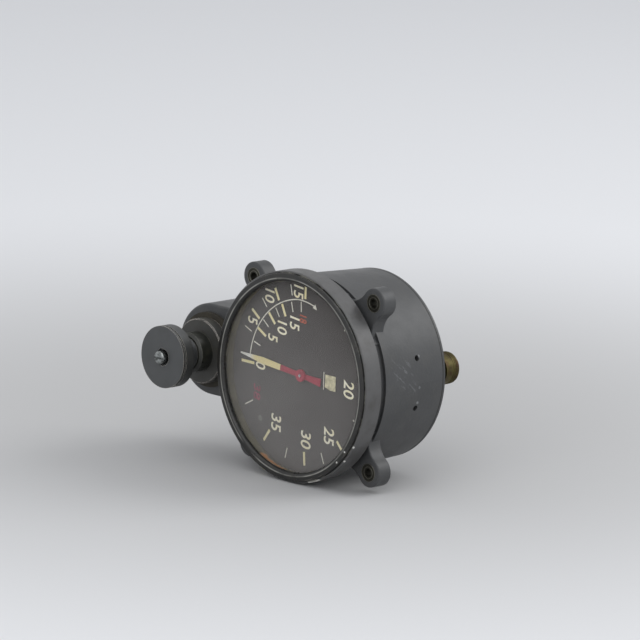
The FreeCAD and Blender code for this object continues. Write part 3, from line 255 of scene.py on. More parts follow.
# Bezel: grey-black enamel on turned brass, handled for years. The skirt is a little paler than the case, with
# white nicks and one chip down to the yellow-green primer.
bezelLook = dict(enamelLook, base="#5a5a5a", shade="#515050", gloss=(0.36, 0.50), toneMm=10,
                 grime="#45443f", grimeMm=5, grimeAmount=0.40, bare="#8a8375", bareMetal=0.6,
                 rimMm=0.30, rubMm=7, rubFrom=0.58, chipMm=1.6, chipFrom=0.82,
                 specks="#dcdcd6", speckMm=0.5, speckCellMm=4.0, speckShare=0.13,
                 spots=[((-14.2, -9.8, -36.6), 1.8, "#a8a24a"), ((11.8, -9.8, -37.2), 1.4, "#c9c8c2"),
                        ((13.6, -9.8, -36.7), 1.4, "#b9b8b2"), ((15.6, -9.8, -35.8), 1.3, "#c9c8c2"),
                        ((33.5, -10.0, -20.3), 0.5, "#d8d8d2"), ((29.0, -10.0, -26.3), 0.5, "#d8d8d2")],
                 spotRaggedMm=1.0, waveMm=0.7, waveDepthMm=0.03)
bezelEnamel = enamelFinish("bezelEnamelWorn", bezelLook)

# Ring round the glass: black enamel baked on brass and polished by wiping. Its crest draws a thin light line,
# a painted highlight, between a near-black slope and a dark groove. Rings are (axis, radius, half width,
# patches, colour).
crestLook = dict(bezelLook, base="#1f1f1e", shade="#282725", gloss=(0.24, 0.36), grime="#3b3830",
                 grimeAmount=0.35, rimMm=0.45, rubFrom=0.47, bare="#a9a79c", speckShare=0.12, speckCellMm=3.0,
                 # The light ring along the crest is a painted highlight
                 rings=[(0, 36.6, 0.30, 14, "#8d8c86")],
                 spots=[((33.7, -10.1, -10.5), 0.5, "#d8d8d2"), ((30.1, -11.0, -22.4), 0.45, "#d8d8d2"),
                        ((24.9, -10.3, -25.2), 0.45, "#cfcfc9"), ((26.2, -11.1, -27.0), 0.4, "#d8d8d2")])
crestEnamel = enamelFinish("crestEnamelPolished", crestLook)

# Spacer ring inside the glass: olive lacquer on brass, grimy in patches and worn to bronze in one stretch of
# its bore, given in degrees clockwise from six o'clock
wornStretch = {"boreMm": 36.9, "depthMm": -7.2, "degrees": range(270, 300, 3), "reachMm": 2.0,
               "bronze": "#cc8434"}


def onSpacer(degrees):
    angle = math.radians(degrees)
    return (-wornStretch["boreMm"] * math.cos(angle), wornStretch["depthMm"],
            wornStretch["boreMm"] * math.sin(angle))


spacerLook = dict(bezelLook, base="#6b6444", shade="#565036", grime="#2f2d27", grimeAmount=0.5,
                  bare="#8a7a55", rubFrom=0.42, gloss=(0.34, 0.50), speckShare=0.0, spotRaggedMm=2.0,
                  spots=[(onSpacer(degrees), wornStretch["reachMm"], wornStretch["bronze"])
                         for degrees in wornStretch["degrees"]])
spacerLacquer = enamelFinish("spacerLacquerWorn", spacerLook)

# Cap and collar of the switch: dark enamel on brass, oiled and dusty, with bright rubbed rims. On the cap
# they are near white, partly wear and partly a painted highlight for the glints along its rim.
capLook = dict(bezelLook, base="#434341", shade="#3c3b37", grime="#45443a", grimeAmount=0.5,
               # The near-white rims are partly wear and partly a painted highlight for glints
               bare="#e9dfd5", bareMetal=0.3, rimMm=0.40, rubMm=8, rubFrom=0.42, gloss=(0.38, 0.55),
               spots=[], speckShare=0.05)
collarLook = dict(capLook, base="#2a2b27", shade="#232420", bare="#6f7065", bareMetal=0.2, rimMm=0.6,
                  gloss=(0.24, 0.42))
capEnamel = enamelFinish("capEnamelWorn", capLook)
collarEnamel = enamelFinish("collarEnamelOiled", collarLook)

# Knob: black phenolic, compression moulded. The face is grey and smooth, the rim shows a thin light line, and
# painted shade, a dark ring of colour, darkens the side, where the ring lies.
knobLook = dict(bezelLook, base="#454748", shade="#404243", grime="#393935", grimeMm=5, grimeAmount=0.35,
                bare="#bdb8b0", bareMetal=0.3, rimMm=0.24, rubMm=12, rubFrom=0.36, chipFrom=0.9,
                gloss=(0.42, 0.55), spots=[], speckShare=0.03, ior=1.6, waveMm=0.5, waveDepthMm=0.012,
                # A dark ring of painted shade over the side of the knob
                rings=[(-54.5, 11.8, 0.5, 40, "#1f1f1b")])
knobPhenolic = enamelFinish("knobPhenolicMoulded", knobLook)


# Rubber cut from sheet: matt, aged, with dust in its pores
def rubberFinish(name, look):
    material, tree, shader, coords = newMaterial(name)
    dust = patchMask(tree, coords, look["dustMm"], look["dustNoise"], look["dustAmount"])
    dusty = addNode(tree, "ShaderNodeMix", colourMix, {7: linear(look["dust"])},
                    {0: dust, 6: twoTones(tree, coords, look)})
    pores = relief(tree, coords, look["poreMm"], look["poreDepthMm"], look["poreDetail"])
    setSockets(tree, shader, {"Roughness": look["roughness"], "IOR": look["ior"]},
               {"Base Color": dusty.outputs[2], "Normal": pores})
    return material


# Seal behind the cap: olive-brown rubber gone dull. Gaskets: black nitrile.
sealLook = {"base": "#38342a", "shade": "#2c2822", "toneMm": 6, "toneNoise": (0.38, 0.66, 4.0),
            "dust": "#4a4534", "dustMm": 3, "dustNoise": (0.52, 0.72, 6.0), "dustAmount": 0.6,
            "poreMm": 0.35, "poreDepthMm": 0.03, "poreDetail": 3.0, "roughness": 0.78, "ior": 1.5}
sealRubber = rubberFinish("sealRubberAged", sealLook)
gasketLook = dict(sealLook, base="#232322", shade="#2b2a28", dust="#3b3934")
gasketRubber = rubberFinish("gasketRubberCut", gasketLook)


# Metal turned or ground: fine tool lines that circle the axis, two tones of tarnish, and stains in patches.
# The lines are drawn lineMm apart, coarser than real ones so that they show.
def metalFinish(name, look):
    material, tree, shader, coords = newMaterial(name)
    stain = patchMask(tree, coords, look["stainMm"], look["stainNoise"], look["stainAmount"])
    stained = addNode(tree, "ShaderNodeMix", colourMix, {7: linear(look["stain"])},
                      {0: stain, 6: twoTones(tree, coords, look)})
    stretched = addNode(tree, "ShaderNodeMapping", {}, {"Scale": look["lineStretch"]}, {"Vector": coords})
    lines = relief(tree, stretched.outputs["Vector"], look["lineMm"], look["lineDepthMm"], look["lineDetail"])
    gloss = unevenGloss(tree, coords, look, look["stainMm"] * look["glossShare"])
    setSockets(tree, shader, {"Metallic": 1.0},
               {"Base Color": stained.outputs[2], "Roughness": gloss, "Normal": lines})
    return material


metalLook = {"toneNoise": (0.34, 0.66, 4.0), "stainNoise": (0.50, 0.68, 6.0), "glossNoise": (0.35, 0.7, 5.0),
             "glossShare": 0.7, "lineStretch": (0.1, 1, 0.1), "lineDetail": 2.0}

# Brass: bright inside the case, dulled to olive in the lugs and on the connector
brassLook = dict(metalLook, base="#c9a45c", shade="#b48e4a", stain="#8c6c38", toneMm=6, stainMm=5,
                 stainAmount=0.4, gloss=(0.20, 0.34), lineMm=0.6, lineDepthMm=0.008)
lugBrassLook = dict(brassLook, base="#4c4b43", shade="#3d3c36", stain="#2b2a27", gloss=(0.42, 0.60),
                    stainAmount=0.6)
rimBrassLook = dict(brassLook, base="#8d8c84", shade="#6f6d64", stain="#4b4942", gloss=(0.34, 0.5))
agedBrassLook = dict(brassLook, base="#605a38", shade="#4c4430", stain="#47332a", toneMm=4, stainMm=3,
                     stainAmount=0.8, gloss=(0.40, 0.60))
pinLook = dict(brassLook, base="#d9c389", shade="#cbb277", gloss=(0.15, 0.25))
turnedBrass = metalFinish("brassTurned", brassLook)
lugBrass = metalFinish("brassInsertDulled", lugBrassLook)
rimBrass = metalFinish("brassRimRubbed", rimBrassLook)
agedBrass = metalFinish("brassConnectorAged", agedBrassLook)
platedPins = metalFinish("brassPinsPlated", pinLook)
springBronze = metalFinish("bronzeStripRolled", dict(brassLook, base="#b0794a", shade="#9a6438"))

# Steel: screws, shafts and wheels, turned and ground. The knob's screw is dark with old oil and bright on its
# dome.
steelLook = dict(metalLook, base="#b9bbbd", shade="#9da0a3", stain="#77716a", toneMm=4, stainMm=3,
                 stainAmount=0.35, gloss=(0.18, 0.34), lineMm=0.5, lineDepthMm=0.006)
oiledLook = dict(steelLook, base="#a6a9a8", shade="#6f7271", stain="#3f403d", toneMm=1.6, stainMm=1.1,
                 stainAmount=0.8, lineMm=0.9, lineStretch=(1, 1, 1), lineDepthMm=0.12)
blackLook = dict(steelLook, base="#2b2b2c", shade="#3b3b3b", stain="#20201f", gloss=(0.4, 0.6))
magnetLook = dict(steelLook, base="#6f7073", shade="#5d5e61", gloss=(0.3, 0.45))
turnedSteel = metalFinish("steelTurned", steelLook)
oiledSteel = metalFinish("steelScrewOiled", oiledLook)
blackSteel = metalFinish("steelScrewBlackened", blackLook)
magnetAlloy = metalFinish("magnetAlloyGround", magnetLook)

# Aluminium: movement base and clamp ring, turned bright and left bare
aluminiumLook = dict(steelLook, base="#cfd1d3", shade="#bcbfc2", gloss=(0.28, 0.42))
turnedAluminium = metalFinish("aluminiumTurned", aluminiumLook)

# Phenolic laminate: brown board cut from sheet, with paper layers along its thickness
laminateLook = {"base": "#5a3a22", "shade": "#4a2d19", "layerMm": 0.5, "layerDepthMm": 0.02,
                "layerStretch": (0.15, 1, 0.15), "layerDetail": 3.0, "roughness": 0.42, "ior": 1.6}


def laminateFinish(name, look):
    material, tree, shader, coords = newMaterial(name)
    squashed = addNode(tree, "ShaderNodeMapping", {}, {"Scale": look["layerStretch"]}, {"Vector": coords})
    layers = addNode(tree, "ShaderNodeTexNoise", {},
                     {"Scale": perMetre / look["layerMm"], "Detail": look["layerDetail"]},
                     {"Vector": squashed.outputs["Vector"]}).outputs["Fac"]
    colour = addNode(tree, "ShaderNodeMix", colourMix, {6: linear(look["base"]), 7: linear(look["shade"])},
                     {0: layers})
    bump = addNode(tree, "ShaderNodeBump", {}, {"Distance": look["layerDepthMm"] * mm}, {"Height": layers})
    setSockets(tree, shader, {"Roughness": look["roughness"], "IOR": look["ior"]},
               {"Base Color": colour.outputs[2], "Normal": bump.outputs["Normal"]})
    return material


laminate = laminateFinish("phenolicLaminateCut", laminateLook)

# Windings: enamelled copper wire laid side by side. The turns are drawn as bands, far coarser than the real
# wire: Blender's diagonal wave comes round every 0.63 of waveMm along an axis.
windingLook = {"wire": "#9c5326", "gap": "#4e2410", "waveMm": 7.0, "uneven": 0.4, "depthMm": 0.1167,
               "roughness": 0.35, "metallic": 0.6}


def windingFinish(name, look):
    material, tree, shader, coords = newMaterial(name)
    turns = addNode(tree, "ShaderNodeTexWave", {"bands_direction": "DIAGONAL"},
                    {"Scale": perMetre / look["waveMm"], "Distortion": look["uneven"]},
                    {"Vector": coords}).outputs["Fac"]
    colour = addNode(tree, "ShaderNodeMix", colourMix, {6: linear(look["gap"]), 7: linear(look["wire"])},
                     {0: turns})
    bump = addNode(tree, "ShaderNodeBump", {}, {"Distance": look["depthMm"] * mm}, {"Height": turns})
    setSockets(tree, shader, {"Roughness": look["roughness"], "Metallic": look["metallic"]},
               {"Base Color": colour.outputs[2], "Normal": bump.outputs["Normal"]})
    return material


copperWinding = windingFinish("copperWindingEnamelled", windingLook)


# Matt paint, on the dial and in its markings: two tones, a few smudges, and the tooth of a flat lacquer
def mattPaint(name, look):
    material, tree, shader, coords = newMaterial(name)
    colour = twoTones(tree, coords, look)
    for spotMm, reachMm, hexColour in look["spots"]:
        smudge = spotMask(tree, coords, spotMm, reachMm, look["toneMm"] * look["raggedShare"])
        colour = addNode(tree, "ShaderNodeMix", colourMix, {7: linear(hexColour)},
                         {0: smudge, 6: colour}).outputs[2]
    tooth = relief(tree, coords, look["toothMm"], look["toothDepthMm"], look["toothDetail"])
    setSockets(tree, shader, {"Roughness": look["roughness"], "IOR": look["ior"]},
               {"Base Color": colour, "Normal": tooth})
    return material


# Dial: grey-black paint on aluminium sheet, faded evenly, with one faint smudge
dialLook = {"base": "#484443", "shade": "#4e4a48", "toneMm": 22, "toneNoise": (0.35, 0.68, 3.0),
            "toothMm": 0.5, "toothDepthMm": 0.001, "toothDetail": 2.0, "roughness": 0.85, "ior": 1.45,
            "spots": [((-21.5, -4.3, -20.0), 1.3, "#6b6a66")], "raggedShare": 0.25}
dialPaint = mattPaint("dialPaintMatt", dialLook)

# Markings: luminous paint laid on thick and gone cream, plain white lines, dull red figures
creamLook = dict(dialLook, base="#fbf3c9", shade="#efe3a6", toneMm=3, toothMm=0.25, toothDepthMm=0.02,
                 roughness=0.7, spots=[])
luminousPaint = mattPaint("luminousPaintCream", creamLook)
figurePaint = mattPaint("figurePaintCream", dict(creamLook, base="#fffbe6", shade="#f8efc8"))
linePaint = mattPaint("linePaintWhite", dict(creamLook, base="#f3f1e4", shade="#d9d6c6"))
redPaint = mattPaint("figurePaintRed", dict(creamLook, base="#9c3350", shade="#7b2a42", toneMm=1.5))
orangePaint = mattPaint("figurePaintOrange", dict(creamLook, base="#c8664c", shade="#a8553f", toneMm=1.5))
flagPaint = mattPaint("flagPaintAged", dict(creamLook, base="#e9e2bd", shade="#a9a283", toneMm=2.2))

# Pointer: pressed sheet, painted by hand in three zones, crimson, cream and a white tip. A zone is given by
# where it starts along the blade, how far it fades in, and its colour.
pointerLook = {"restDegrees": 6.0, "crimson": "#b22a44", "crimsonDark": "#8f2036",
               "zones": [(10.9, 0.3, "#f1e2a6"), (24.5, 3.0, "#f3f1e8")],
               "brushMm": 2.5, "brushNoise": (0.3, 0.7, 3.0), "brushDepthMm": 0.03, "roughness": 0.5}


def pointerFinish(name, look):
    material, tree, shader, coords = newMaterial(name)
    angle = math.radians(look["restDegrees"])
    along = addNode(tree, "ShaderNodeVectorMath", {"operation": "DOT_PRODUCT"},
                    {1: (-math.cos(angle), 0, math.sin(angle))}, {0: coords}).outputs["Value"]
    brushed = patchMask(tree, coords, look["brushMm"], look["brushNoise"])
    colour = addNode(tree, "ShaderNodeMix", colourMix,
                     {6: linear(look["crimson"]), 7: linear(look["crimsonDark"])}, {0: brushed}).outputs[2]
    for fromMm, fadeMm, hexColour in look["zones"]:
        zone = addNode(tree, "ShaderNodeMapRange", {},
                       {"From Min": fromMm * mm, "From Max": (fromMm + fadeMm) * mm}, {"Value": along})
        colour = addNode(tree, "ShaderNodeMix", colourMix, {7: linear(hexColour)},
                         {0: zone.outputs["Result"], 6: colour}).outputs[2]
    bump = addNode(tree, "ShaderNodeBump", {}, {"Distance": look["brushDepthMm"] * mm}, {"Height": brushed})
    setSockets(tree, shader, {"Roughness": look["roughness"]},
               {"Base Color": colour, "Normal": bump.outputs["Normal"]})
    return material


pointerPaint = pointerFinish("pointerPaintBrushed", pointerLook)
hubPaint = mattPaint("hubPaintCrimson", dict(creamLook, base="#b22a44", shade="#8f2036", roughness=0.5))

# Cover glass: flat ground plate. Mostly clear, with a thin grey veil, thickest towards its lower left, that
# is partly dust and partly a painted reflection of the pale surroundings.
glassLook = {"dustAndReflectionVeil": "#cfcdca", "clear": 0.02, "filmed": 0.13, "filmMm": 18, "filmNoise": (0.3, 0.7, 4.0),
             "patchy": (0.85, 1.15), "dust": (-0.55, 0.0, -0.83), "dustFromMm": -34, "dustToMm": 22,
             "roughness": 0.05, "ior": 1.52, "specular": 1.0}


def glassFinish(name, look):
    material, tree, shader, coords = newMaterial(name)
    # The grey veil's share: dust and a painted reflection of the surroundings, growing towards the lower left
    downward = addNode(tree, "ShaderNodeVectorMath", {"operation": "DOT_PRODUCT"}, {1: look["dust"]},
                       {0: coords})
    veilDownward = addNode(tree, "ShaderNodeMapRange", {},
                      {"From Min": look["dustFromMm"] * mm, "From Max": look["dustToMm"] * mm,
                       "To Min": look["clear"], "To Max": look["filmed"]},
                      {"Value": downward.outputs["Value"]})
    patchy = addNode(tree, "ShaderNodeMapRange", {}, {"To Min": look["patchy"][0], "To Max": look["patchy"][1]},
                    {"Value": patchMask(tree, coords, look["filmMm"], look["filmNoise"])})
    alpha = addNode(tree, "ShaderNodeMath", multiply, {},
                    {0: veilDownward.outputs["Result"], 1: patchy.outputs["Result"]})
    setSockets(tree, shader, {"Base Color": linear(look["dustAndReflectionVeil"]), "Roughness": look["roughness"],
                              "IOR": look["ior"], "Specular IOR Level": look["specular"]},
               {"Alpha": alpha.outputs[0]})
    return material


coverGlass = glassFinish("glassCoverGround", glassLook)
print("materials made")

# Which finish each CAD node wears
finishes = {
    caseEnamel: ["case"],
    coverEnamel: ["rear_cover", "switch_back_cover"],
    bezelEnamel: ["bezel"],
    crestEnamel: ["glass_retaining_ring"],
    spacerLacquer: ["dial_spacer_ring"],
    coverGlass: ["cover_glass"],
    dialPaint: ["dial_plate"],
    pointerPaint: ["pointer"],
    hubPaint: ["pointer_hub"],
    knobPhenolic: ["selector_knob"],
    capEnamel: ["switch_cap"],
    collarEnamel: ["shaft_bush"],
    sealRubber: ["switch_seal_ring"],
    gasketRubber: ["glass_gasket", "rear_seal"],
    lugBrass: ["lug_inserts"],
    agedBrass: ["connector_shell"],
    platedPins: ["connector_pins"],
    springBronze: ["hairspring"],
    turnedBrass: ["front_bearing", "rear_bearing", "spring_collet", "hairspring_stud", "movement_pillars",
                  "switch_ring_nut", "detent_guide", "contact_wiper", "deck_contacts", "connector_nut",
                  "movement_front_plate"],
    turnedSteel: ["pointer_spindle", "pillar_screws", "spool_screws", "switch_shaft", "detent_ball",
                  "detent_spring", "shaft_clip", "detent_wheel", "switch_cover_screws", "rear_cover_screws"],
    oiledSteel: ["knob_screw"],
    blackSteel: ["case_grub_screws"],
    magnetAlloy: ["rotor_magnet"],
    turnedAluminium: ["movement_base", "deck_clamp_ring"],
    laminate: ["coil_former_front", "coil_former_rear", "contact_deck", "connector_insulator",
               "resistor_spools"],
    copperWinding: ["inner_field_coil", "outer_field_coil"],
}
for material, names in finishes.items():
    for name in names:
        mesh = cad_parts[name].data
        mesh.materials.clear()
        mesh.materials.append(material)
print("finishes put on the CAD nodes")


def finishPiece(name, mesh, material, body="instrument"):
    piece = bpy.data.objects.new(name, mesh)
    bpy.context.scene.collection.objects.link(piece)
    mesh.materials.clear()
    mesh.materials.append(material)
    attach(piece, body)
    return piece


# A mesh from a bmesh of closed shapes, its faces turned outwards
def closedMesh(name, bm):
    bmesh.ops.recalc_face_normals(bm, faces=bm.faces)
    mesh = bpy.data.meshes.new(name)
    bm.to_mesh(mesh)
    bm.free()
    return mesh


# Dial artwork lies on the dial face and is drawn as the dial is read, right along -Z and up along +X.
# Angles run clockwise from six o'clock.
paintMm = 0.05
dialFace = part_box("dial_plate")[0].y
readingFrame = Matrix(((0, 1, 0, 0), (0, 0, -1, 0), (-1, 0, 0, 0), (0, 0, 0, 1)))
ontoDial = Matrix.Translation((0, dialFace, 0)) @ readingFrame


def onDial(degrees, radiusMm):
    angle = math.radians(degrees)
    return Vector((-radiusMm * math.sin(angle), -radiusMm * math.cos(angle))) * mm


# Flat shapes, as thick as a coat of paint
def paintShapes(name, outlines, material):
    bm = bmesh.new()
    for outline in outlines:
        face = bm.faces.new([bm.verts.new((p[0], p[1], 0)) for p in outline])
        face.normal_update()
        if face.normal.z < 0:
            face.normal_flip()
        top = bmesh.ops.extrude_face_region(bm, geom=[face])["geom"]
        bmesh.ops.translate(bm, verts=[v for v in top if isinstance(v, bmesh.types.BMVert)],
                            vec=(0, 0, paintMm * mm))
    mesh = closedMesh(name, bm)
    mesh.transform(ontoDial)
    return finishPiece(name, mesh, material)


def tickOutline(degrees, outerMm, innerMm, widthMm):
    outer, inner = onDial(degrees, outerMm), onDial(degrees, innerMm)
    side = (outer - inner).normalized().orthogonal() * widthMm * mm / 2
    return [outer - side, outer + side, inner + side, inner - side]


# Outer scale 0 to 38, then inner scale 0 to 18: (angle, outer radius, inner radius)
scaleLook = {
    "thickWidth": 1.05,
    "thickMarks": [(0.6, 32.3, 25.5), (36.7, 34.2, 29.1), (62.9, 33.9, 29.1), (91.0, 33.3, 28.6),
                   (181, 33.3, 29.5), (228.2, 33.2, 28.6), (265.7, 33.6, 28.5), (304.8, 33.9, 28.6),
                   (30.0, 27.9, 22.7), (48.1, 27.6, 22.5), (64.9, 27.4, 22.6)],
    "thinWidth": 0.42,
    "thinMarks": [(23.6, 33.7, 29.9), (48.9, 33.7, 29.7), (77.5, 33.6, 29.5), (136.5, 33.0, 29.2),
                  (204, 33.4, 29.6), (247.9, 33.5, 29.3), (283.4, 33.4, 29.3), (331.8, 33.8, 29.2),
                  (18.0, 27.3, 23.7), (39.3, 27.4, 23.8), (57.0, 27.3, 23.6), (75.8, 27.2, 23.4),
                  (86.6, 27.3, 23.5)]}
for name, marks, width, paint in (
        ("scaleMarksThick", scaleLook["thickMarks"], scaleLook["thickWidth"], luminousPaint),
        ("scaleMarksThin", scaleLook["thinMarks"], scaleLook["thinWidth"], linePaint)):
    paintShapes(name, [tickOutline(angle, outer, inner, width) for angle, outer, inner in marks], paint)

# Curved line that the inner scale hangs from. It bends inwards at its end, where a small arrowhead closes it.
# The arrow points away from a place arrowBack degrees before the end and arrowOut outside the line.
arcLook = {"from": 5.5, "to": 101.0, "radius": 28.0, "bendFrom": 84.0, "bend": 0.05, "width": 0.42,
           "steps": 48, "arrowLong": 2.0, "arrowHalf": 1.0, "arrowBack": 4, "arrowOut": 1.0}


def arcRadius(degrees):
    return arcLook["radius"] - arcLook["bend"] * max(0, degrees - arcLook["bendFrom"])


arcStrips = []
arcSpan = arcLook["to"] - arcLook["from"]
half = arcLook["width"] / 2
for step in range(arcLook["steps"]):
    first, second = [arcLook["from"] + arcSpan * (step + k) / arcLook["steps"] for k in (0, 1)]
    arcStrips.append([onDial(first, arcRadius(first) - half), onDial(first, arcRadius(first) + half),
                      onDial(second, arcRadius(second) + half), onDial(second, arcRadius(second) - half)])
arcEnd = onDial(arcLook["to"], arcRadius(arcLook["to"]))
arrowFrom = arcLook["to"] - arcLook["arrowBack"]
arcWay = (arcEnd - onDial(arrowFrom, arcRadius(arrowFrom) + arcLook["arrowOut"])).normalized()
arrowSide = arcWay.orthogonal() * arcLook["arrowHalf"] * mm
arrowTip = arcEnd + arcWay * arcLook["arrowLong"] * mm
arcStrips.append([arcEnd + arrowSide, arrowTip, arcEnd - arrowSide])
paintShapes("innerScaleArc", arcStrips, linePaint)

# Cream flag opposite the zero, wider at its top, with a thin white line under it: (right, up) in mm
flagLook = {"outline": [(-2.4, 12.2), (2.3, 12.0), (3.2, 14.6), (3.2, 17.5), (-2.3, 17.5)],
            "line": [(-3.2, 11.15), (3.4, 11.15), (3.4, 11.5), (-3.2, 11.5)]}
paintShapes("dialFlag", [[Vector(p) * mm for p in flagLook["outline"]]], flagPaint)
paintShapes("dialFlagLine", [[Vector(p) * mm for p in flagLook["line"]]], linePaint)

# Figures: narrow, slightly slanted, upright as the dial is read: (text, right, up, width, height) in mm.
# bodyDepth is how thick a figure is made before it is fitted to its size and the coat of paint.
figureLook = {
    "outer": [("0", 0.1, -22.1, 2.9, 5.0), ("5", -16.2, -26.9, 2.8, 5.0), ("10", -26.8, -18.2, 5.2, 5.0),
              ("15", -30.7, -3.1, 5.1, 5.0), ("20", 1.2, 24.4, 6.8, 5.3), ("25", 20.2, 14.9, 6.6, 5.3),
              ("30", 23.8, 2.9, 6.7, 5.2), ("35", 20.1, -13.0, 6.5, 5.2)],
    "inner": [("5", -11.4, -16.0, 2.8, 5.0), ("10", -15.9, -11.2, 5.1, 5.0), ("15", -18.7, -4.7, 5.1, 5.0)],
    "red": [("38", 10.3, -23.6, 6.0, 3.6)],
    "orange": [("18", -20.9, -0.3, 3.1, 3.6)],
    "weight": 0.012, "slant": 0.14, "bodyDepth": 0.5, "curveSteps": 6}


def paintFigure(name, text, place, widthMm, heightMm, material):
    curve = bpy.data.curves.new(name + "Text", "FONT")
    curve.body = text
    curve.shear = figureLook["slant"]
    curve.offset = figureLook["weight"]
    curve.extrude = figureLook["bodyDepth"]
    curve.resolution_u = figureLook["curveSteps"]
    words = bpy.data.objects.new(name + "Text", curve)
    bpy.context.scene.collection.objects.link(words)
    bpy.context.view_layer.update()
    mesh = bpy.data.meshes.new_from_object(words)
    bpy.data.objects.remove(words)
    low = Vector([min(v.co[i] for v in mesh.vertices) for i in range(3)])
    high = Vector([max(v.co[i] for v in mesh.vertices) for i in range(3)])
    size = high - low
    fit = Matrix.Diagonal((widthMm * mm / size.x, heightMm * mm / size.y, paintMm * mm / size.z, 1))
    mesh.transform(Matrix.Translation((place[0] * mm, place[1] * mm, paintMm * mm / 2)) @ fit
                   @ Matrix.Translation(-(low + high) / 2))
    mesh.transform(ontoDial)
    mesh.name = name
    return finishPiece(name, mesh, material)


ringPaints = {"outer": figurePaint, "inner": figurePaint, "red": redPaint, "orange": orangePaint}
for ring, paint in ringPaints.items():
    for text, rightMm, upMm, widthMm, heightMm in figureLook[ring]:
        paintFigure("figure_%s_%s" % (ring, text), text, (rightMm, upMm), widthMm, heightMm, paint)
print("dial painted")


# A closed profile, given as (radius, y) in mm, turned about an axis along Y through (x, z) in mm
def turnProfile(bm, profile, x, z, steps):
    rings = []
    for step in range(steps):
        angle = 2 * math.pi * step / steps
        rings.append([bm.verts.new(((x + r * math.cos(angle)) * mm, y * mm, (z + r * math.sin(angle)) * mm))
                      for r, y in profile])
    for step in range(steps):
        here, there = rings[step], rings[(step + 1) % steps]
        for k in range(len(profile)):
            after = (k + 1) % len(profile)
            bm.faces.new((here[k], here[after], there[after], there[k]))


# Lug inserts: a rubbed rim where each brass insert is swaged into its lug, and a smaller one round the
# thread. A rim is (radius, half width). It stands proud, narrower at its crest, and is sunk a little.
insertLook = {"lugs": 4, "circleMm": 44.45, "firstDegrees": 45, "rims": [(3.3, 0.13), (2.15, 0.12)],
              "proudMm": 0.12, "sunkMm": 0.05, "crest": 0.5, "steps": 40}
bm = bmesh.new()
for corner in range(insertLook["lugs"]):
    angle = math.radians(insertLook["firstDegrees"] + 360 / insertLook["lugs"] * corner)
    x, z = insertLook["circleMm"] * math.cos(angle), insertLook["circleMm"] * math.sin(angle)
    for radius, half in insertLook["rims"]:
        crest = half * insertLook["crest"]
        profile = [(radius - half, insertLook["sunkMm"]), (radius - crest, -insertLook["proudMm"]),
                   (radius + crest, -insertLook["proudMm"]), (radius + half, insertLook["sunkMm"])]
        turnProfile(bm, profile, x, z, insertLook["steps"])
finishPiece("insertRims", closedMesh("insertRims", bm), rimBrass)

# Coupling thread on the connector barrel: one helical ridge, cut coarse enough to show. Root and crest are
# the half widths of the ridge as shares of the pitch, and its ends fade to least of its height.
threadLook = {"x": 22.0, "radius": 5.88, "height": 0.22, "pitch": 0.8, "from": 46.2, "to": 49.5, "steps": 48,
              "sunk": 0.05, "root": 0.42, "crest": 0.08, "fadeTurns": 0.5, "least": 0.02}
rootHalf, crestHalf = threadLook["pitch"] * threadLook["root"], threadLook["pitch"] * threadLook["crest"]
rootRadius = threadLook["radius"] - threadLook["sunk"]
turns = (threadLook["to"] - threadLook["from"]) / threadLook["pitch"]
bm = bmesh.new()
previous = None
for step in range(int(turns * threadLook["steps"]) + 1):
    turn = step / threadLook["steps"]
    angle = 2 * math.pi * turn
    y = threadLook["from"] + threadLook["pitch"] * turn
    fade = min(1.0, turn / threadLook["fadeTurns"], (turns - turn) / threadLook["fadeTurns"])
    crest = threadLook["radius"] + threadLook["height"] * max(fade, threadLook["least"])
    section = [(rootRadius, y - rootHalf), (crest, y - crestHalf), (crest, y + crestHalf),
               (rootRadius, y + rootHalf)]
    ring = [bm.verts.new(((threadLook["x"] + r * math.cos(angle)) * mm, v * mm, r * math.sin(angle) * mm))
            for r, v in section]
    if previous:
        for k in range(len(ring)):
            after = (k + 1) % len(ring)
            bm.faces.new((previous[k], previous[after], ring[after], ring[k]))
    else:
        bm.faces.new(ring)
    previous = ring
bm.faces.new(previous)
finishPiece("connectorThread", closedMesh("connectorThread", bm), agedBrass)
print("insert rims and connector thread made")

# Floor: pale matt paper with a painted shadow: darker round the object than at a distance. Wide enough for
# every view
floorLook = {"near": "#bfbfbf", "far": "#ecedef", "shadowInnerRadius": 0.05, "shadowOuterRadius": 0.48,
             "centre": (-0.07, 0.07, 0), "radius": 5.0, "segments": 96, "gap": 0.00002, "roughness": 0.9,
             "specular": 0.2}
floorMesh = bpy.data.meshes.new("floorPaper")
bm = bmesh.new()
bmesh.ops.create_circle(bm, cap_ends=True, segments=floorLook["segments"], radius=floorLook["radius"])
bm.to_mesh(floorMesh)
bm.free()
floor = bpy.data.objects.new("floorPaper", floorMesh)
floor.location.z = cadBox[0][2] - floorLook["gap"]
bpy.context.scene.collection.objects.link(floor)
floorMaterial, tree, shader, coords = newMaterial("paperMatt")
# Painted shadow: the paper's colour darkens towards a point beside the object
reach = addNode(tree, "ShaderNodeVectorMath", {"operation": "DISTANCE"}, {1: floorLook["centre"]},
                {0: coords})
fade = addNode(tree, "ShaderNodeMapRange", {"interpolation_type": "SMOOTHSTEP"},
               {"From Min": floorLook["shadowInnerRadius"], "From Max": floorLook["shadowOuterRadius"]},
               {"Value": reach.outputs["Value"]})
shadedPaper = addNode(tree, "ShaderNodeMix", colourMix,
                {6: linear(floorLook["near"]), 7: linear(floorLook["far"])}, {0: fade.outputs["Result"]})
setSockets(tree, shader, {"Roughness": floorLook["roughness"], "Specular IOR Level": floorLook["specular"]},
           {"Base Color": shadedPaper.outputs[2]})
floorMesh.materials.append(floorMaterial)

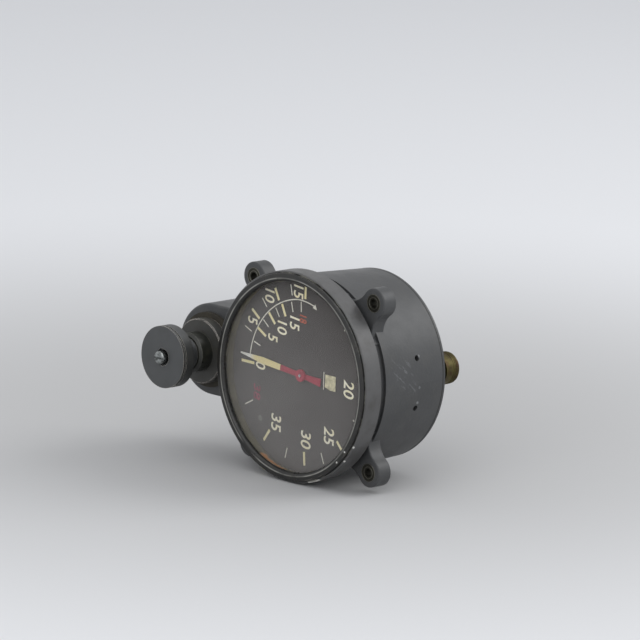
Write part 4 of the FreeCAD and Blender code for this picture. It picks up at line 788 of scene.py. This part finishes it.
# World: a pale backdrop wherever it is seen, directly, in a reflection or through glass, and an even light
# that is weaker
worldLook = {"seen": "#dcdddf", "light": "#f4f6fa", "strength": 0.62}
world = bpy.data.worlds.new("studioWorld")
bpy.context.scene.world = world
world.use_nodes = True
tree = world.node_tree
tree.nodes.clear()
rays = addNode(tree, "ShaderNodeLightPath")
direct = addNode(tree, "ShaderNodeMath", {"operation": "MAXIMUM"}, {},
                 {0: rays.outputs["Is Camera Ray"], 1: rays.outputs["Is Glossy Ray"]})
visible = addNode(tree, "ShaderNodeMath", {"operation": "MAXIMUM"}, {},
                  {0: direct.outputs[0], 1: rays.outputs["Is Transmission Ray"]})
seen = addNode(tree, "ShaderNodeBackground", {}, {"Color": linear(worldLook["seen"])})
light = addNode(tree, "ShaderNodeBackground", {},
                {"Color": linear(worldLook["light"]), "Strength": worldLook["strength"]})
pick = addNode(tree, "ShaderNodeMixShader", {}, {},
               {0: visible.outputs[0], 1: light.outputs[0], 2: seen.outputs[0]})
addNode(tree, "ShaderNodeOutputWorld", links={"Surface": pick.outputs[0]})

# Lamps: a large soft box behind to the right that draws the sheen on the case, one over the bench, one for
# the dial. Each is aimed at the origin.
lampLook = [
    {"name": "softBoxBehind", "at": (0.75, 1.15, 1.05), "size": 1.1, "watts": 10.5},
    {"name": "softBoxOver", "at": (0.0, -0.1, 1.6), "size": 1.5, "watts": 3.0},
    {"name": "softBoxFront", "at": (0.55, -1.35, 1.1), "size": 1.6, "watts": 9.0}]
for look in lampLook:
    lamp = bpy.data.lights.new(look["name"], "AREA")
    lamp.shape = "SQUARE"
    lamp.size = look["size"]
    lamp.energy = look["watts"]
    stand = bpy.data.objects.new(look["name"], lamp)
    stand.location = look["at"]
    stand.rotation_euler = (-Vector(look["at"])).to_track_quat("-Z", "Y").to_euler()
    bpy.context.scene.collection.objects.link(stand)
print("floor, world and lamps placed")

# Camera: a long lens from the photograph's side, aimed so that the dial's centre falls where it does there
cameraLook = {"azimuth": 45.498, "elevation": 11.961, "roll": 1.693, "distance": 1.83658, "lens": 281.25,
              "centrePixel": (310.589, 373.827), "pixels": 640, "sensor": 36.0, "clip": (0.05, 50)}
azimuth, elevation, roll = [math.radians(cameraLook[key]) for key in ("azimuth", "elevation", "roll")]
outward = Vector((math.sin(azimuth) * math.cos(elevation), -math.cos(azimuth) * math.cos(elevation),
                  math.sin(elevation)))
right = (-outward).cross(Vector((0, 0, 1))).normalized()
up = right.cross(-outward)
right, up = (right * math.cos(roll) + up * math.sin(roll), up * math.cos(roll) - right * math.sin(roll))
focalPixels = cameraLook["lens"] / cameraLook["sensor"] * cameraLook["pixels"]
middle = cameraLook["pixels"] / 2
forward = (-outward + right * (middle - cameraLook["centrePixel"][0]) / focalPixels
           + up * (cameraLook["centrePixel"][1] - middle) / focalPixels).normalized()
right = (right - forward * right.dot(forward)).normalized()
up = right.cross(forward)
lens = bpy.data.cameras.new("photoCamera")
lens.lens = cameraLook["lens"]
lens.sensor_width = cameraLook["sensor"]
lens.clip_start, lens.clip_end = cameraLook["clip"]
camera = bpy.data.objects.new("photoCamera", lens)
turn = Matrix((right, up, -forward)).transposed().to_4x4()
camera.matrix_world = Matrix.Translation(outward * cameraLook["distance"]) @ turn
bpy.context.scene.collection.objects.link(camera)
bpy.context.scene.camera = camera
bpy.context.scene.view_settings.view_transform = "Standard"
print("camera placed")

bpy.context.view_layer.update()
